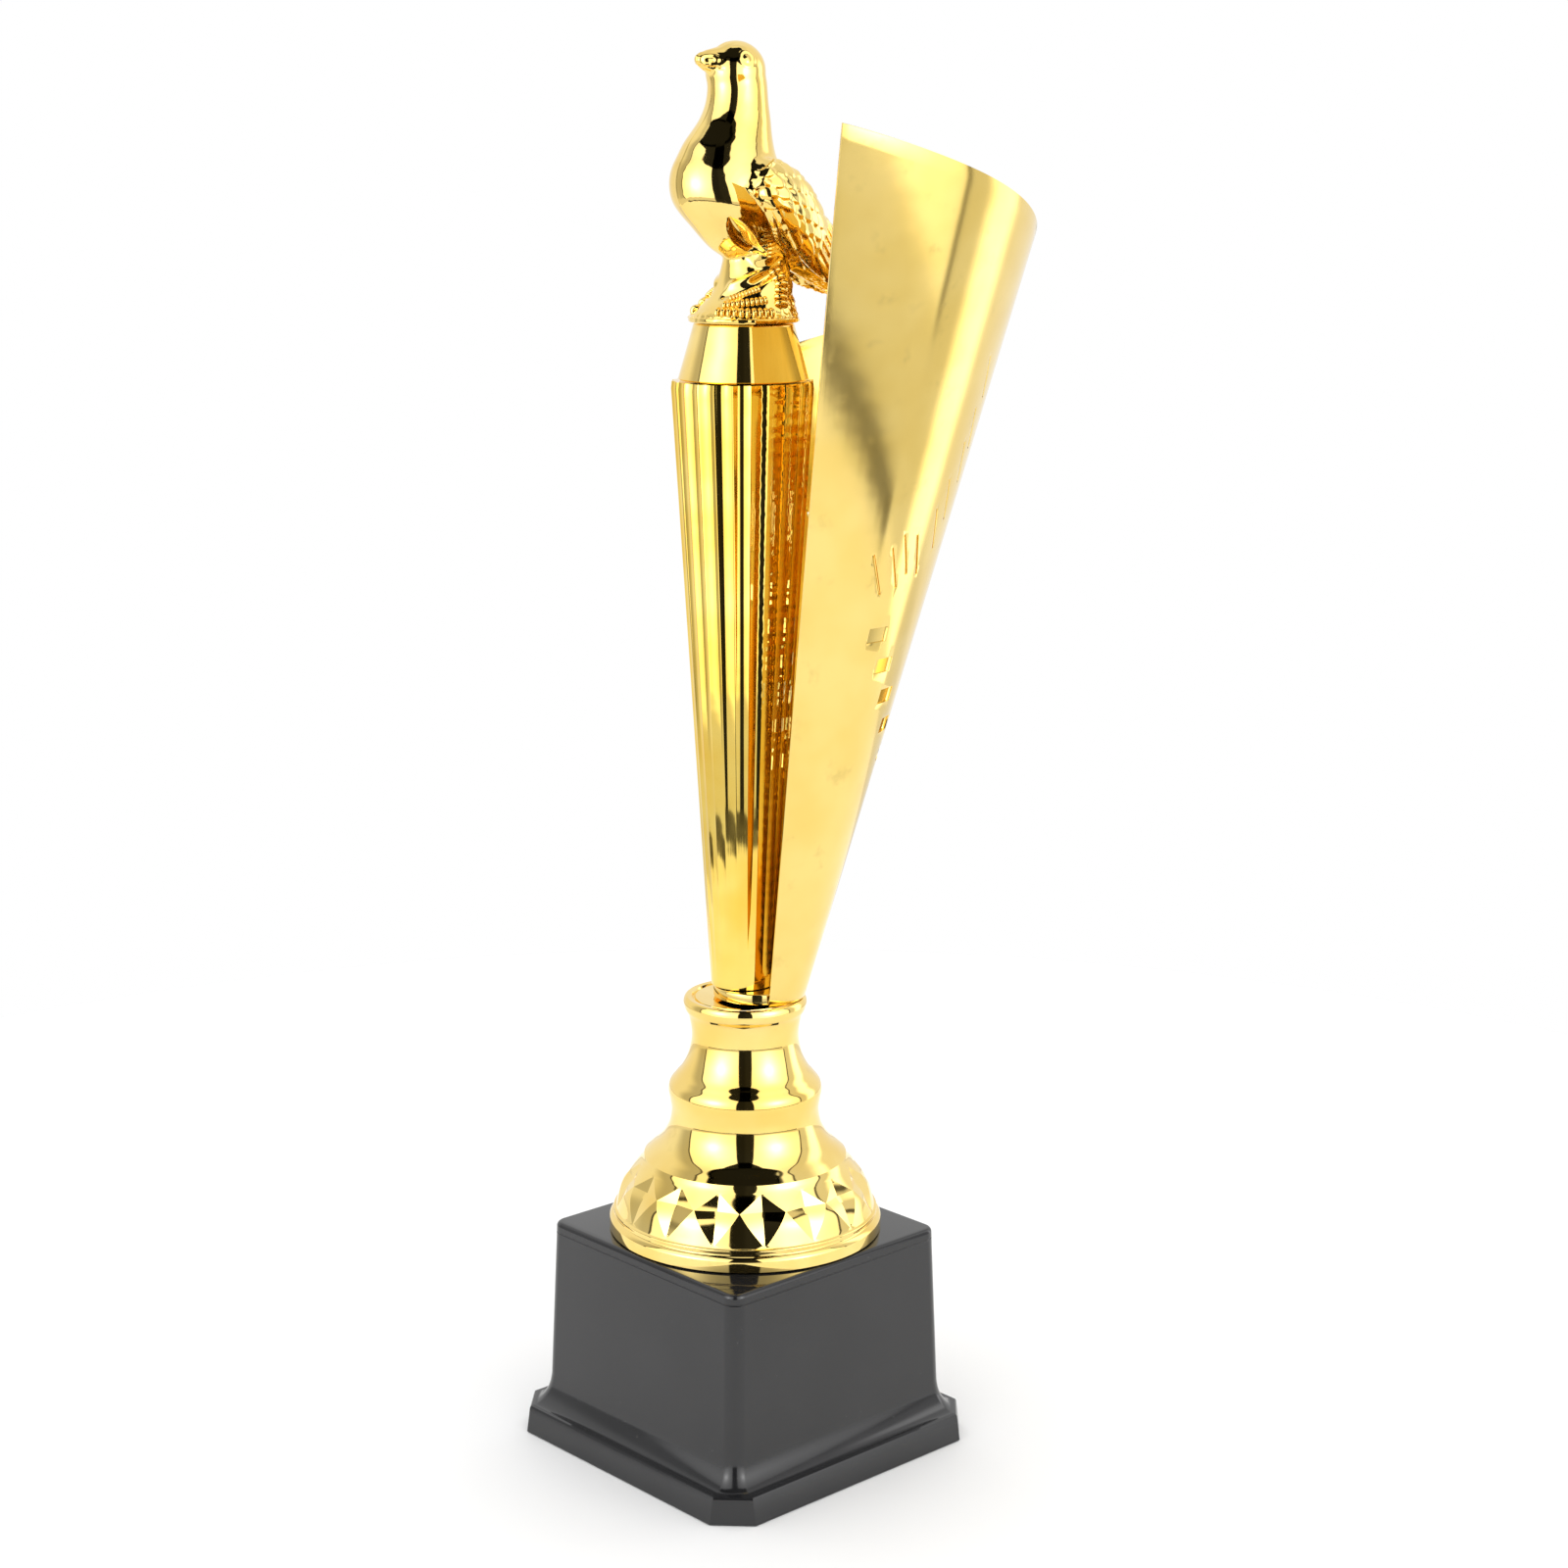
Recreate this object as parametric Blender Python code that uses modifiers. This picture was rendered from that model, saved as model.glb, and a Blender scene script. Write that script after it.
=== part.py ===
"""Pigeon trophy cup: square plinth, turned riser, fluted column, perched pigeon and a rolled sheet cup."""

import math

import bmesh
import bpy
from mathutils import Matrix, Vector

# Gap left between pieces that touch
GAP = 0.0003

# Plinth: a black moulded block, closed and flat underneath, on a wider foot with cut corners
PLINTH_LOW_SIDE = 0.0794
PLINTH_LOW_HEIGHT = 0.0160
PLINTH_HEIGHT = 0.0613
PLINTH_DRAFT = 0.0014
PLINTH_CORNER_RADIUS = 0.0042
PLINTH_TOP_ROUNDING = 0.0013
FOOT_SPREAD = 0.0078
FOOT_DRAFT = 0.00125
FOOT_CUT = 0.0087
FOOT_HEIGHT = 0.0079
FOOT_BEVEL = 0.0008
CORNER_POINTS = 6

# Riser: a turned gold pedestal; each rise is measured from the station below it
RISER_STEPS = 48
FLANGE_MARGIN = 0.0005
FLANGE_RISE = 0.0027
BELL_FOOT_RADIUS = 0.0360
BELL_FOOT_RISE = 0.0035
BAND_TOP_RADIUS = 0.0280
BAND_TOP_RISE = 0.0149
LOW_NECK_RADIUS = 0.0204
LOW_NECK_RISE = 0.0129
BEAD_RADIUS = 0.0212
BEAD_RISE = 0.0058
HIGH_NECK_RADIUS = 0.0147
HIGH_NECK_RISE = 0.0155
LIP_RADIUS = 0.0170
LIP_RISE = 0.0093
LIP_EDGE = 0.0018
LIP_GROOVE = 0.0027
DIAMONDS = 16
DIAMOND_FILL = 0.97
DIAMOND_MARGIN = 0.0005
DIAMOND_MIDDLE = (0.44, 0.59)
RISER_SHIFT = 0.0004

# Shares of the way to the next station, in radius and in height, for each stretch of the riser
RISER_STRETCHES = (
    ((0.06, 0.17), (0.35, 0.37), (0.71, 0.54), (0.65, 0.86)),
    ((0.20, 0.38), DIAMOND_MIDDLE, (0.77, 0.80)),
    ((0.21, 0.11), (0.51, 0.27), (0.75, 0.46), (0.93, 0.70)),
    ((0.60, 0.61),),
    ((0.07, 0.13), (0.31, 0.26), (0.59, 0.41), (0.87, 0.67)),
    ((0.33, 0.57), (0.79, 0.81)),
)

# Collar: a plain disc that the column stands on, set off the column's axis
COLLAR_RADIUS = 0.0120
COLLAR_HEIGHT = 0.0030
CUP_AXIS_SHIFT = 0.0037
VIEW_TURN = math.radians(47.7)

# Column: a tapered shaft with shallow flutes
FLUTES = 24
FLUTE_POINTS = 4
FLUTE_TURN = math.radians(-8.0)
COLUMN_FOOT_RADIUS = 0.0086
COLUMN_TOP_RADIUS = 0.0191
COLUMN_HEIGHT = 0.1640
FLUTE_FOOT_DEPTH = 0.0002
FLUTE_TOP_DEPTH = 0.0009
COLUMN_SHIFT = -0.0003

# Cap: a smooth cone standing inside the column's rim
CAP_INSET = 0.0011
CAP_TOP_RADIUS = 0.0133
CAP_HEIGHT = 0.0147
CAP_EDGE = 0.0007

# Pigeon on its rock and disc
DISC_OVERHANG = 0.0013
DISC_HEIGHT = 0.0014
PIGEON_TURN = math.radians(-8.3)
PIGEON_HEIGHT = 0.0706
PIGEON_VOXEL = 0.00070
PIGEON_SMOOTHING = 3
PIGEON_DETAIL = 0.052

# Cup: a rolled sheet, open towards the pigeon's breast, with a slanting rim
CUP_THICKNESS = 0.0009
CUP_SLOPE = 0.285
CUP_NEAR_EDGE = math.radians(13.8)
CUP_FAR_EDGE = math.radians(185.0)
CUP_COLUMNS = 48
CUP_NEAR_HEIGHT = 0.2325
CUP_RIM_FALL = 0.0195
CUP_RIM_SAG = 0.0032
CUP_RIM_EASE = 0.00082
WINDOW_WIDTH = 0.0070
WINDOW_HEIGHT = 0.0040
WINDOWS_EACH_SIDE = 5
WINDOW_STEP = 0.0078
WINDOW_DROP = 0.0090
WINDOW_FIRST_SPREAD = 0.0404
WINDOW_FIRST_HEIGHT = 0.1047
SLIT_WIDTH = 0.0008
SLIT_LENGTH = 0.0120
SLIT_LEAN = math.radians(24.0)
CUTTER_DEPTH = 0.0060

# Slit tips: degrees round from the cup's middle, and rise above the first window in metres
SLIT_TIPS = (
    (61.4, 0.0220),
    (54.6, 0.0233),
    (50.6, 0.0265),
    (44.2, 0.0258),
    (36.7, 0.0320),
    (33.6, 0.0393),
    (29.9, 0.0486),
    (29.0, 0.0573),
    (29.6, 0.0706),
)

# Sizes and heights that follow from the ones above
FOOT_SIDE = PLINTH_LOW_SIDE + 2 * FOOT_SPREAD
FOOT_EDGE_SIDE = FOOT_SIDE - 2 * FOOT_DRAFT
PLINTH_TOP_SIDE = PLINTH_LOW_SIDE - 2 * PLINTH_DRAFT
FLANGE_RADIUS = PLINTH_TOP_SIDE / 2 - FLANGE_MARGIN
BELL_FOOT_HEIGHT = FLANGE_RISE + BELL_FOOT_RISE
BAND_TOP_HEIGHT = BELL_FOOT_HEIGHT + BAND_TOP_RISE
LOW_NECK_HEIGHT = BAND_TOP_HEIGHT + LOW_NECK_RISE
BEAD_HEIGHT = LOW_NECK_HEIGHT + BEAD_RISE
HIGH_NECK_HEIGHT = BEAD_HEIGHT + HIGH_NECK_RISE
LIP_HEIGHT = HIGH_NECK_HEIGHT + LIP_RISE
RISER_HEIGHT = LIP_HEIGHT + LIP_EDGE
CAP_FOOT_RADIUS = COLUMN_TOP_RADIUS - FLUTE_TOP_DEPTH - CAP_INSET
DISC_RADIUS = CAP_TOP_RADIUS + DISC_OVERHANG
CUP_FOOT_RADIUS = COLLAR_RADIUS + GAP + CUP_THICKNESS
RISER_FOOT_Z = PLINTH_HEIGHT + GAP
COLLAR_Z = RISER_FOOT_Z + RISER_HEIGHT + GAP
COLUMN_Z = COLLAR_Z + COLLAR_HEIGHT + GAP
CAP_Z = COLUMN_Z + COLUMN_HEIGHT + GAP
DISC_Z = CAP_Z + CAP_HEIGHT + GAP
CUP_Z = RISER_FOOT_Z + RISER_HEIGHT + GAP


def clear_scene():
    """Remove every object in the open file."""
    for item in list(bpy.data.objects):
        bpy.data.objects.remove(item, do_unlink=True)


def new_collection(name):
    """Make a collection and link it to the scene."""
    made = bpy.data.collections.new(name)
    bpy.context.scene.collection.children.link(made)
    return made


def new_material(name, colour, metallic, roughness):
    """Make a plain Principled material."""
    material = bpy.data.materials.new(name)
    material.use_nodes = True
    shader = material.node_tree.nodes["Principled BSDF"]
    shader.inputs["Base Color"].default_value = (*colour, 1.0)
    shader.inputs["Metallic"].default_value = metallic
    shader.inputs["Roughness"].default_value = roughness
    return material


def new_object(name, bm, collection, material=None):
    """Turn a bmesh into a named object."""
    mesh = bpy.data.meshes.new(name)
    bm.to_mesh(mesh)
    bm.free()
    made = bpy.data.objects.new(name, mesh)
    collection.objects.link(made)
    if material:
        mesh.materials.append(material)
    return made


def sideways(distance, height):
    """Place off the middle line, to the right of the viewing direction."""
    return Vector((distance * math.cos(VIEW_TURN), distance * math.sin(VIEW_TURN), height))


def add_loft(bm, rings):
    """Join rings of equal length with quads and close both ends."""
    rows = [[bm.verts.new(point) for point in ring] for ring in rings]
    count = len(rows[0])
    for low, high in zip(rows, rows[1:]):
        for i in range(count):
            j = (i + 1) % count
            bm.faces.new((low[i], low[j], high[j], high[i]))
    bm.faces.new(list(reversed(rows[0])))
    bm.faces.new(rows[-1])


def cutter_settings(item):
    """Show a cutter as wires only and keep it out of renders."""
    item.hide_render = True
    item.display_type = "WIRE"


def add_boolean(target, cutter, operation):
    """Add an exact Boolean modifier."""
    modifier = target.modifiers.new(operation.title(), "BOOLEAN")
    modifier.operation = operation
    modifier.solver = "EXACT"
    modifier.object = cutter


def turned(name, profile, steps, collection, material):
    """Revolve a profile of (radius, height) pairs that runs from top to bottom."""
    bm = bmesh.new()
    points = [bm.verts.new((radius, 0.0, height)) for radius, height in profile]
    for start, end in zip(points, points[1:]):
        bm.edges.new((start, end))
    made = new_object(name, bm, collection, material)
    screw = made.modifiers.new("Turn", "SCREW")
    screw.axis = "Z"
    screw.angle = math.tau
    screw.steps = steps
    screw.render_steps = steps
    screw.use_merge_vertices = True
    screw.merge_threshold = 0.00005
    return made


def square_ring(side, cut, roundness, height):
    """Points round a square whose corners go from a straight cut (0) to a full arc (1)."""
    half = side / 2
    points = []
    for corner in range(4):
        turn = Matrix.Rotation(corner * math.pi / 2, 3, "Z")
        for step in range(CORNER_POINTS):
            share = step / (CORNER_POINTS - 1)
            straight = Vector((half - cut * share, half - cut * (1 - share), height))
            angle = share * math.pi / 2
            arc = Vector((half - cut + cut * math.cos(angle), half - cut + cut * math.sin(angle), height))
            points.append(turn @ straight.lerp(arc, roundness))
    return points


def build_plinth(collection, material):
    """Plinth from its flat underside up over the foot's cove to the rounded top edge."""
    radius = PLINTH_CORNER_RADIUS
    edge = PLINTH_TOP_ROUNDING
    rings = [
        square_ring(FOOT_SIDE, FOOT_CUT, 0.0, 0.0),
        square_ring(FOOT_EDGE_SIDE, FOOT_CUT - FOOT_DRAFT, 0.0, FOOT_HEIGHT - FOOT_BEVEL),
    ]
    spread = FOOT_EDGE_SIDE - PLINTH_LOW_SIDE
    flare = PLINTH_LOW_HEIGHT - FOOT_HEIGHT
    for outward, upward in ((0.90, 0.0), (0.66, 0.02), (0.40, 0.16), (0.18, 0.40), (0.06, 0.68), (0.0, 1.0)):
        side = PLINTH_LOW_SIDE + spread * outward
        cut = radius + (FOOT_CUT - radius) * outward ** 2
        rings.append(square_ring(side, cut, (1 - outward) ** 1.3, FOOT_HEIGHT + flare * upward))
    for angle in (0.0, 30.0, 60.0, 90.0):
        inward = edge * (1 - math.cos(math.radians(angle)))
        drop = edge * (1 - math.sin(math.radians(angle)))
        rings.append(square_ring(PLINTH_TOP_SIDE - 2 * inward, radius - inward, 1.0, PLINTH_HEIGHT - drop))
    bm = bmesh.new()
    add_loft(bm, rings)
    bmesh.ops.recalc_face_normals(bm, faces=bm.faces)
    return new_object("plinth", bm, collection, material)


def riser_stations():
    """Radius and height of the riser's named stations, from flange to lip."""
    return (
        (FLANGE_RADIUS, FLANGE_RISE),
        (BELL_FOOT_RADIUS, BELL_FOOT_HEIGHT),
        (BAND_TOP_RADIUS, BAND_TOP_HEIGHT),
        (LOW_NECK_RADIUS, LOW_NECK_HEIGHT),
        (BEAD_RADIUS, BEAD_HEIGHT),
        (HIGH_NECK_RADIUS, HIGH_NECK_HEIGHT),
        (LIP_RADIUS, LIP_HEIGHT),
    )


def part_way(start, end, shares):
    """Point part of the way from one station to the next."""
    return tuple(low + (high - low) * share for low, high, share in zip(start, end, shares))


def riser_profile():
    """Riser outline from its top centre down to its foot centre."""
    stations = riser_stations()
    outline = [(0.0, 0.0), (FLANGE_RADIUS, 0.0), stations[0]]
    for start, end, stretch in zip(stations, stations[1:], RISER_STRETCHES):
        outline.extend(part_way(start, end, shares) for shares in stretch)
        outline.append(end)
    groove = LIP_RADIUS - LIP_GROOVE
    outline.extend((
        (LIP_RADIUS - LIP_EDGE * 0.15, RISER_HEIGHT - LIP_EDGE * 0.40),
        (LIP_RADIUS - LIP_EDGE * 0.60, RISER_HEIGHT),
        (groove, RISER_HEIGHT - LIP_EDGE * 0.55),
        (groove - LIP_EDGE * 0.35, RISER_HEIGHT - LIP_EDGE * 0.20),
        (0.0, RISER_HEIGHT - LIP_EDGE * 0.20),
    ))
    return outline[::-1]


def build_riser(collection, cutters, material):
    """Turned riser with a ring of diamond dents cut into its bell."""
    riser = turned("riser", riser_profile(), RISER_STEPS, collection, material)
    riser.location = sideways(RISER_SHIFT, RISER_FOOT_Z)
    bell_foot, band_top = riser_stations()[1:3]
    waist_radius, waist_height = part_way(bell_foot, band_top, DIAMOND_MIDDLE)
    side = math.pi / DIAMONDS * DIAMOND_FILL
    places = (
        (band_top[0] + DIAMOND_MARGIN, 0.0, band_top[1] - DIAMOND_MARGIN),
        (bell_foot[0], 0.0, bell_foot[1] + DIAMOND_MARGIN),
        (waist_radius * math.cos(side), waist_radius * math.sin(side), waist_height),
        (waist_radius * math.cos(side), -waist_radius * math.sin(side), waist_height),
        (bell_foot[0] * 1.3, 0.0, band_top[1]),
    )
    bm = bmesh.new()
    for number in range(DIAMONDS):
        turn = Matrix.Rotation(math.tau * (number + 0.5) / DIAMONDS, 4, "Z")
        top, bottom, left, right, outer = [bm.verts.new(turn @ Vector(place)) for place in places]
        for corners in (
            (top, bottom, left),
            (bottom, top, right),
            (top, left, outer),
            (left, bottom, outer),
            (bottom, right, outer),
            (right, top, outer),
        ):
            bm.faces.new(corners)
    bmesh.ops.recalc_face_normals(bm, faces=bm.faces)
    dents = new_object("diamond_cutters", bm, cutters)
    dents.location = riser.location
    cutter_settings(dents)
    add_boolean(riser, dents, "DIFFERENCE")
    return riser


def build_collar(collection, material):
    """Collar disc under the column and inside the cup's foot."""
    profile = [
        (0.0, COLLAR_HEIGHT),
        (COLLAR_RADIUS - 0.0005, COLLAR_HEIGHT),
        (COLLAR_RADIUS, COLLAR_HEIGHT - 0.0005),
        (COLLAR_RADIUS, 0.0),
        (0.0, 0.0),
    ]
    collar = turned("collar", profile, 40, collection, material)
    collar.location = sideways(CUP_AXIS_SHIFT, COLLAR_Z)
    return collar


def build_column(collection, material):
    """Fluted column, drawn up from its foot outline in steps that widen and deepen the flutes."""
    bm = bmesh.new()
    count = FLUTES * FLUTE_POINTS
    rings = []
    for share in (0.0, 0.035, 0.12, 0.45, 1.0):
        radius = COLUMN_FOOT_RADIUS + (COLUMN_TOP_RADIUS - COLUMN_FOOT_RADIUS) * share
        depth = FLUTE_FOOT_DEPTH + (FLUTE_TOP_DEPTH - FLUTE_FOOT_DEPTH) * share ** 0.7
        if share < 0.03:
            depth = 0.0
        ring = []
        for i in range(count):
            within = (i % FLUTE_POINTS) / FLUTE_POINTS
            reach = radius - depth * math.sin(math.pi * within) ** 0.7
            angle = math.tau * i / count + VIEW_TURN + FLUTE_TURN - math.pi / 2
            ring.append((reach * math.cos(angle), reach * math.sin(angle), COLUMN_HEIGHT * share))
        rings.append(ring)
    add_loft(bm, rings)
    bmesh.ops.recalc_face_normals(bm, faces=bm.faces)
    column = new_object("fluted_column", bm, collection, material)
    column.location = sideways(COLUMN_SHIFT, COLUMN_Z)
    return column


def build_cap(collection, material):
    """Smooth cone between the column's rim and the pigeon's disc."""
    profile = [
        (0.0, CAP_HEIGHT),
        (CAP_TOP_RADIUS - CAP_EDGE, CAP_HEIGHT),
        (CAP_TOP_RADIUS, CAP_HEIGHT - CAP_EDGE),
        (CAP_FOOT_RADIUS, CAP_EDGE),
        (CAP_FOOT_RADIUS - 0.0002, 0.0),
        (0.0, 0.0),
    ]
    cap = turned("column_cap", profile, 48, collection, material)
    cap.location.z = CAP_Z
    return cap


def sweep(bm, stations, sides, lean=0.0):
    """Skin a row of ovals square to a path: (forward, height, left, half width, half thickness).

    Sizes are shares of the pigeon's height; the lean turns each oval about the path.
    """
    places = [Vector((left, -forward, height)) for forward, height, left, _, _ in stations]
    rings = []
    for i, station in enumerate(stations):
        ahead = places[min(i + 1, len(places) - 1)] - places[max(i - 1, 0)]
        across = Vector((1.0, 0.0, 0.0))
        upward = ahead.cross(across).normalized()
        across = upward.cross(ahead).normalized()
        ring = []
        for j in range(sides):
            angle = math.tau * j / sides
            c = station[3] * math.cos(angle)
            s = station[4] * math.sin(angle)
            aside = c * math.cos(lean) - s * math.sin(lean)
            above = c * math.sin(lean) + s * math.cos(lean)
            ring.append((places[i] + across * aside + upward * above) * PIGEON_HEIGHT)
        rings.append(ring)
    skin(bm, rings)


def level_sweep(bm, levels, sides):
    """Skin a row of level ovals: (height, front, back, half width) per level, in shares."""
    rings = []
    for height, front, back, half_width in levels:
        middle = (front + back) / 2
        reach = (front - back) / 2
        ring = []
        for j in range(sides):
            angle = math.tau * j / sides
            place = Vector((half_width * math.cos(angle), -middle - reach * math.sin(angle), height))
            ring.append(place * PIGEON_HEIGHT)
        rings.append(ring)
    skin(bm, rings)


def skin(bm, rings):
    """Loft rings as one closed outward body."""
    before = set(bm.faces)
    add_loft(bm, rings)
    bmesh.ops.recalc_face_normals(bm, faces=[face for face in bm.faces if face not in before])


def add_ball(bm, forward, height, left, radius, stretch=(1.0, 1.0, 1.0), tilt=0.0):
    """Add an oval ball; the stretch runs left, forward and up before the tilt."""
    place = Vector((left, -forward, height)) * PIGEON_HEIGHT
    matrix = Matrix.Translation(place) @ Matrix.Rotation(tilt, 4, "X") @ Matrix.Diagonal((*stretch, 1.0))
    bmesh.ops.create_icosphere(bm, subdivisions=2, radius=radius * PIGEON_HEIGHT, matrix=matrix)


# Body levels: height, front, back and half width in shares of the pigeon's height
BODY_LEVELS = (
    (0.185, -0.02, -0.20, 0.030),
    (0.215, 0.045, -0.36, 0.078),
    (0.260, 0.125, -0.44, 0.128),
    (0.300, 0.168, -0.43, 0.162),
    (0.345, 0.207, -0.37, 0.187),
    (0.390, 0.250, -0.32, 0.201),
    (0.432, 0.281, -0.285, 0.207),
    (0.475, 0.294, -0.227, 0.201),
    (0.517, 0.295, -0.172, 0.190),
    (0.560, 0.285, -0.132, 0.174),
    (0.602, 0.263, -0.114, 0.158),
    (0.645, 0.240, -0.106, 0.142),
    (0.688, 0.206, -0.101, 0.127),
    (0.730, 0.174, -0.098, 0.116),
    (0.785, 0.149, -0.090, 0.107),
    (0.840, 0.141, -0.086, 0.102),
    (0.870, 0.145, -0.084, 0.100),
)

WING_LEAN = math.radians(22.0)

# Wing path: forward, height, left, half height and half thickness, from shoulder to tip
WING_PATH = (
    (0.090, 0.515, 0.160, 0.038, 0.020),
    (0.033, 0.520, 0.186, 0.082, 0.037),
    (-0.048, 0.472, 0.188, 0.108, 0.045),
    (-0.124, 0.396, 0.172, 0.121, 0.047),
    (-0.200, 0.310, 0.146, 0.113, 0.043),
    (-0.290, 0.230, 0.114, 0.091, 0.036),
    (-0.405, 0.150, 0.080, 0.058, 0.027),
    (-0.560, 0.062, 0.046, 0.018, 0.014),
)

TAIL_PATH = (
    (-0.230, 0.245, 0.0, 0.100, 0.070),
    (-0.370, 0.155, 0.0, 0.098, 0.045),
    (-0.520, 0.070, 0.0, 0.104, 0.026),
    (-0.640, 0.005, 0.0, 0.112, 0.013),
)

ROCK_LEVELS = (
    (-0.005, 0.199, -0.204, 0.201),
    (0.012, 0.198, -0.202, 0.198),
    (0.030, 0.194, -0.198, 0.190),
    (0.050, 0.168, -0.193, 0.180),
    (0.074, 0.145, -0.190, 0.167),
    (0.094, 0.129, -0.183, 0.156),
    (0.136, 0.099, -0.188, 0.140),
    (0.178, 0.084, -0.163, 0.118),
    (0.221, 0.076, -0.128, 0.096),
    (0.264, 0.060, -0.100, 0.070),
)

BEAK_PATH = (
    (0.060, 0.925, 0.0, 0.078, 0.062),
    (0.125, 0.931, 0.0, 0.054, 0.052),
    (0.165, 0.935, 0.0, 0.037, 0.038),
    (0.195, 0.937, 0.0, 0.023, 0.025),
    (0.210, 0.935, 0.0, 0.011, 0.012),
)


def add_leg(bm, side):
    """Thigh, shank and toes on one side (1 left, -1 right)."""
    add_ball(bm, -0.055, 0.262, side * 0.088, 0.074, (0.82, 1.15, 1.30), math.radians(-25))
    shank = (
        (-0.080, 0.225, side * 0.100, 0.034, 0.036),
        (-0.105, 0.165, side * 0.100, 0.028, 0.029),
        (-0.055, 0.065, side * 0.096, 0.027, 0.028),
        (-0.035, 0.030, side * 0.096, 0.032, 0.030),
    )
    sweep(bm, shank, 8)
    for spread in (-0.046, 0.0, 0.046):
        toe = (
            (-0.050, 0.040, side * 0.096, 0.024, 0.024),
            (0.050, 0.034, side * (0.096 + spread * 0.6), 0.021, 0.023),
            (0.120, 0.018, side * (0.096 + spread), 0.017, 0.018),
            (0.158, 0.004, side * (0.096 + spread * 1.2), 0.009, 0.010),
        )
        sweep(bm, toe, 8)


def pigeon_form():
    """All the pigeon's masses as overlapping closed bodies."""
    bm = bmesh.new()
    level_sweep(bm, ROCK_LEVELS, 24)
    level_sweep(bm, BODY_LEVELS, 28)
    add_ball(bm, 0.036, 0.899, 0.0, 0.110, (0.95, 1.04, 1.0))
    sweep(bm, BEAK_PATH, 14)
    sweep(bm, TAIL_PATH, 16)
    for side in (1, -1):
        wing = []
        for forward, height, left, half_height, half_thickness in WING_PATH:
            wing.append((forward, height, side * left, half_thickness, half_height))
        sweep(bm, wing, 16, -side * WING_LEAN)
        add_leg(bm, side)
        add_ball(bm, 0.050, 0.950, side * 0.078, 0.023)
    return bm


def build_pigeon(collection, cutters, material):
    """Pigeon, rock and disc as one casting: fused, smoothed, thinned and cut level underneath."""
    rough = new_object("pigeon_form", pigeon_form(), cutters)
    fuse = rough.modifiers.new("Fuse", "REMESH")
    fuse.mode = "VOXEL"
    fuse.voxel_size = PIGEON_VOXEL
    ease = rough.modifiers.new("Ease", "SMOOTH")
    ease.factor = 0.5
    ease.iterations = PIGEON_SMOOTHING
    thin = rough.modifiers.new("Thin", "DECIMATE")
    thin.ratio = PIGEON_DETAIL
    graph = bpy.context.evaluated_depsgraph_get()
    graph.update()
    mesh = bpy.data.meshes.new_from_object(rough.evaluated_get(graph))
    bpy.data.objects.remove(rough, do_unlink=True)
    bm = bmesh.new()
    bm.from_mesh(mesh)
    bmesh.ops.bisect_plane(
        bm,
        geom=[*bm.verts, *bm.edges, *bm.faces],
        plane_co=(0.0, 0.0, DISC_HEIGHT * 0.4),
        plane_no=(0.0, 0.0, 1.0),
        clear_inner=True,
    )
    rims = [edge for edge in bm.edges if edge.is_boundary]
    bmesh.ops.holes_fill(bm, edges=rims)
    bmesh.ops.recalc_face_normals(bm, faces=bm.faces)
    bird = new_object("pigeon_body", bm, cutters)
    bird.location.z = DISC_Z
    bird.rotation_euler.z = PIGEON_TURN
    cutter_settings(bird)
    profile = [
        (0.0, DISC_HEIGHT),
        (DISC_RADIUS - 0.0006, DISC_HEIGHT),
        (DISC_RADIUS, DISC_HEIGHT - 0.0004),
        (DISC_RADIUS - 0.0002, 0.0),
        (0.0, 0.0),
    ]
    pigeon = turned("pigeon", profile, 40, collection, material)
    pigeon.location.z = DISC_Z
    add_boolean(pigeon, bird, "UNION")
    return pigeon


def cup_radius(height):
    """Outside radius of the cup at a height above its foot."""
    return CUP_FOOT_RADIUS + CUP_SLOPE * height


def cup_rim(angle):
    """Height of the rim above the cup's foot, falling round from the near edge."""
    turn = angle - CUP_NEAR_EDGE
    return CUP_NEAR_HEIGHT - CUP_RIM_FALL * turn - CUP_RIM_SAG * turn ** 2 + CUP_RIM_EASE * turn ** 3


def cup_point(angle, height, outward=0.0):
    """Point on the cup's outside, by angle round from the viewing direction."""
    turn = angle + VIEW_TURN - math.pi / 2
    reach = cup_radius(height) + outward
    return Vector((reach * math.cos(turn), reach * math.sin(turn), height))


def cup_middle():
    """Angle of the line the cut-outs mirror about."""
    return (CUP_NEAR_EDGE + CUP_FAR_EDGE) / 2


def add_cutout(bm, spread, height, width, length, lean):
    """Add one box that pierces the cup, with its middle at an arc distance from the cup's middle."""
    angle = cup_middle() + spread / cup_radius(height)
    middle = cup_point(angle, height)
    outward = cup_point(angle, height, 1.0) - middle
    across = Vector((0.0, 0.0, 1.0)).cross(outward).normalized()
    upward = outward.cross(across).normalized()
    along = upward * math.cos(lean) + across * math.sin(lean)
    beside = across * math.cos(lean) - upward * math.sin(lean)
    frame = Matrix((
        (*beside, 0.0),
        (*along, 0.0),
        (*outward.normalized(), 0.0),
        (0.0, 0.0, 0.0, 1.0),
    )).transposed()
    size = Matrix.Diagonal((width, length, CUTTER_DEPTH, 1.0))
    bmesh.ops.create_cube(bm, size=1.0, matrix=Matrix.Translation(middle) @ frame @ size)


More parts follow.
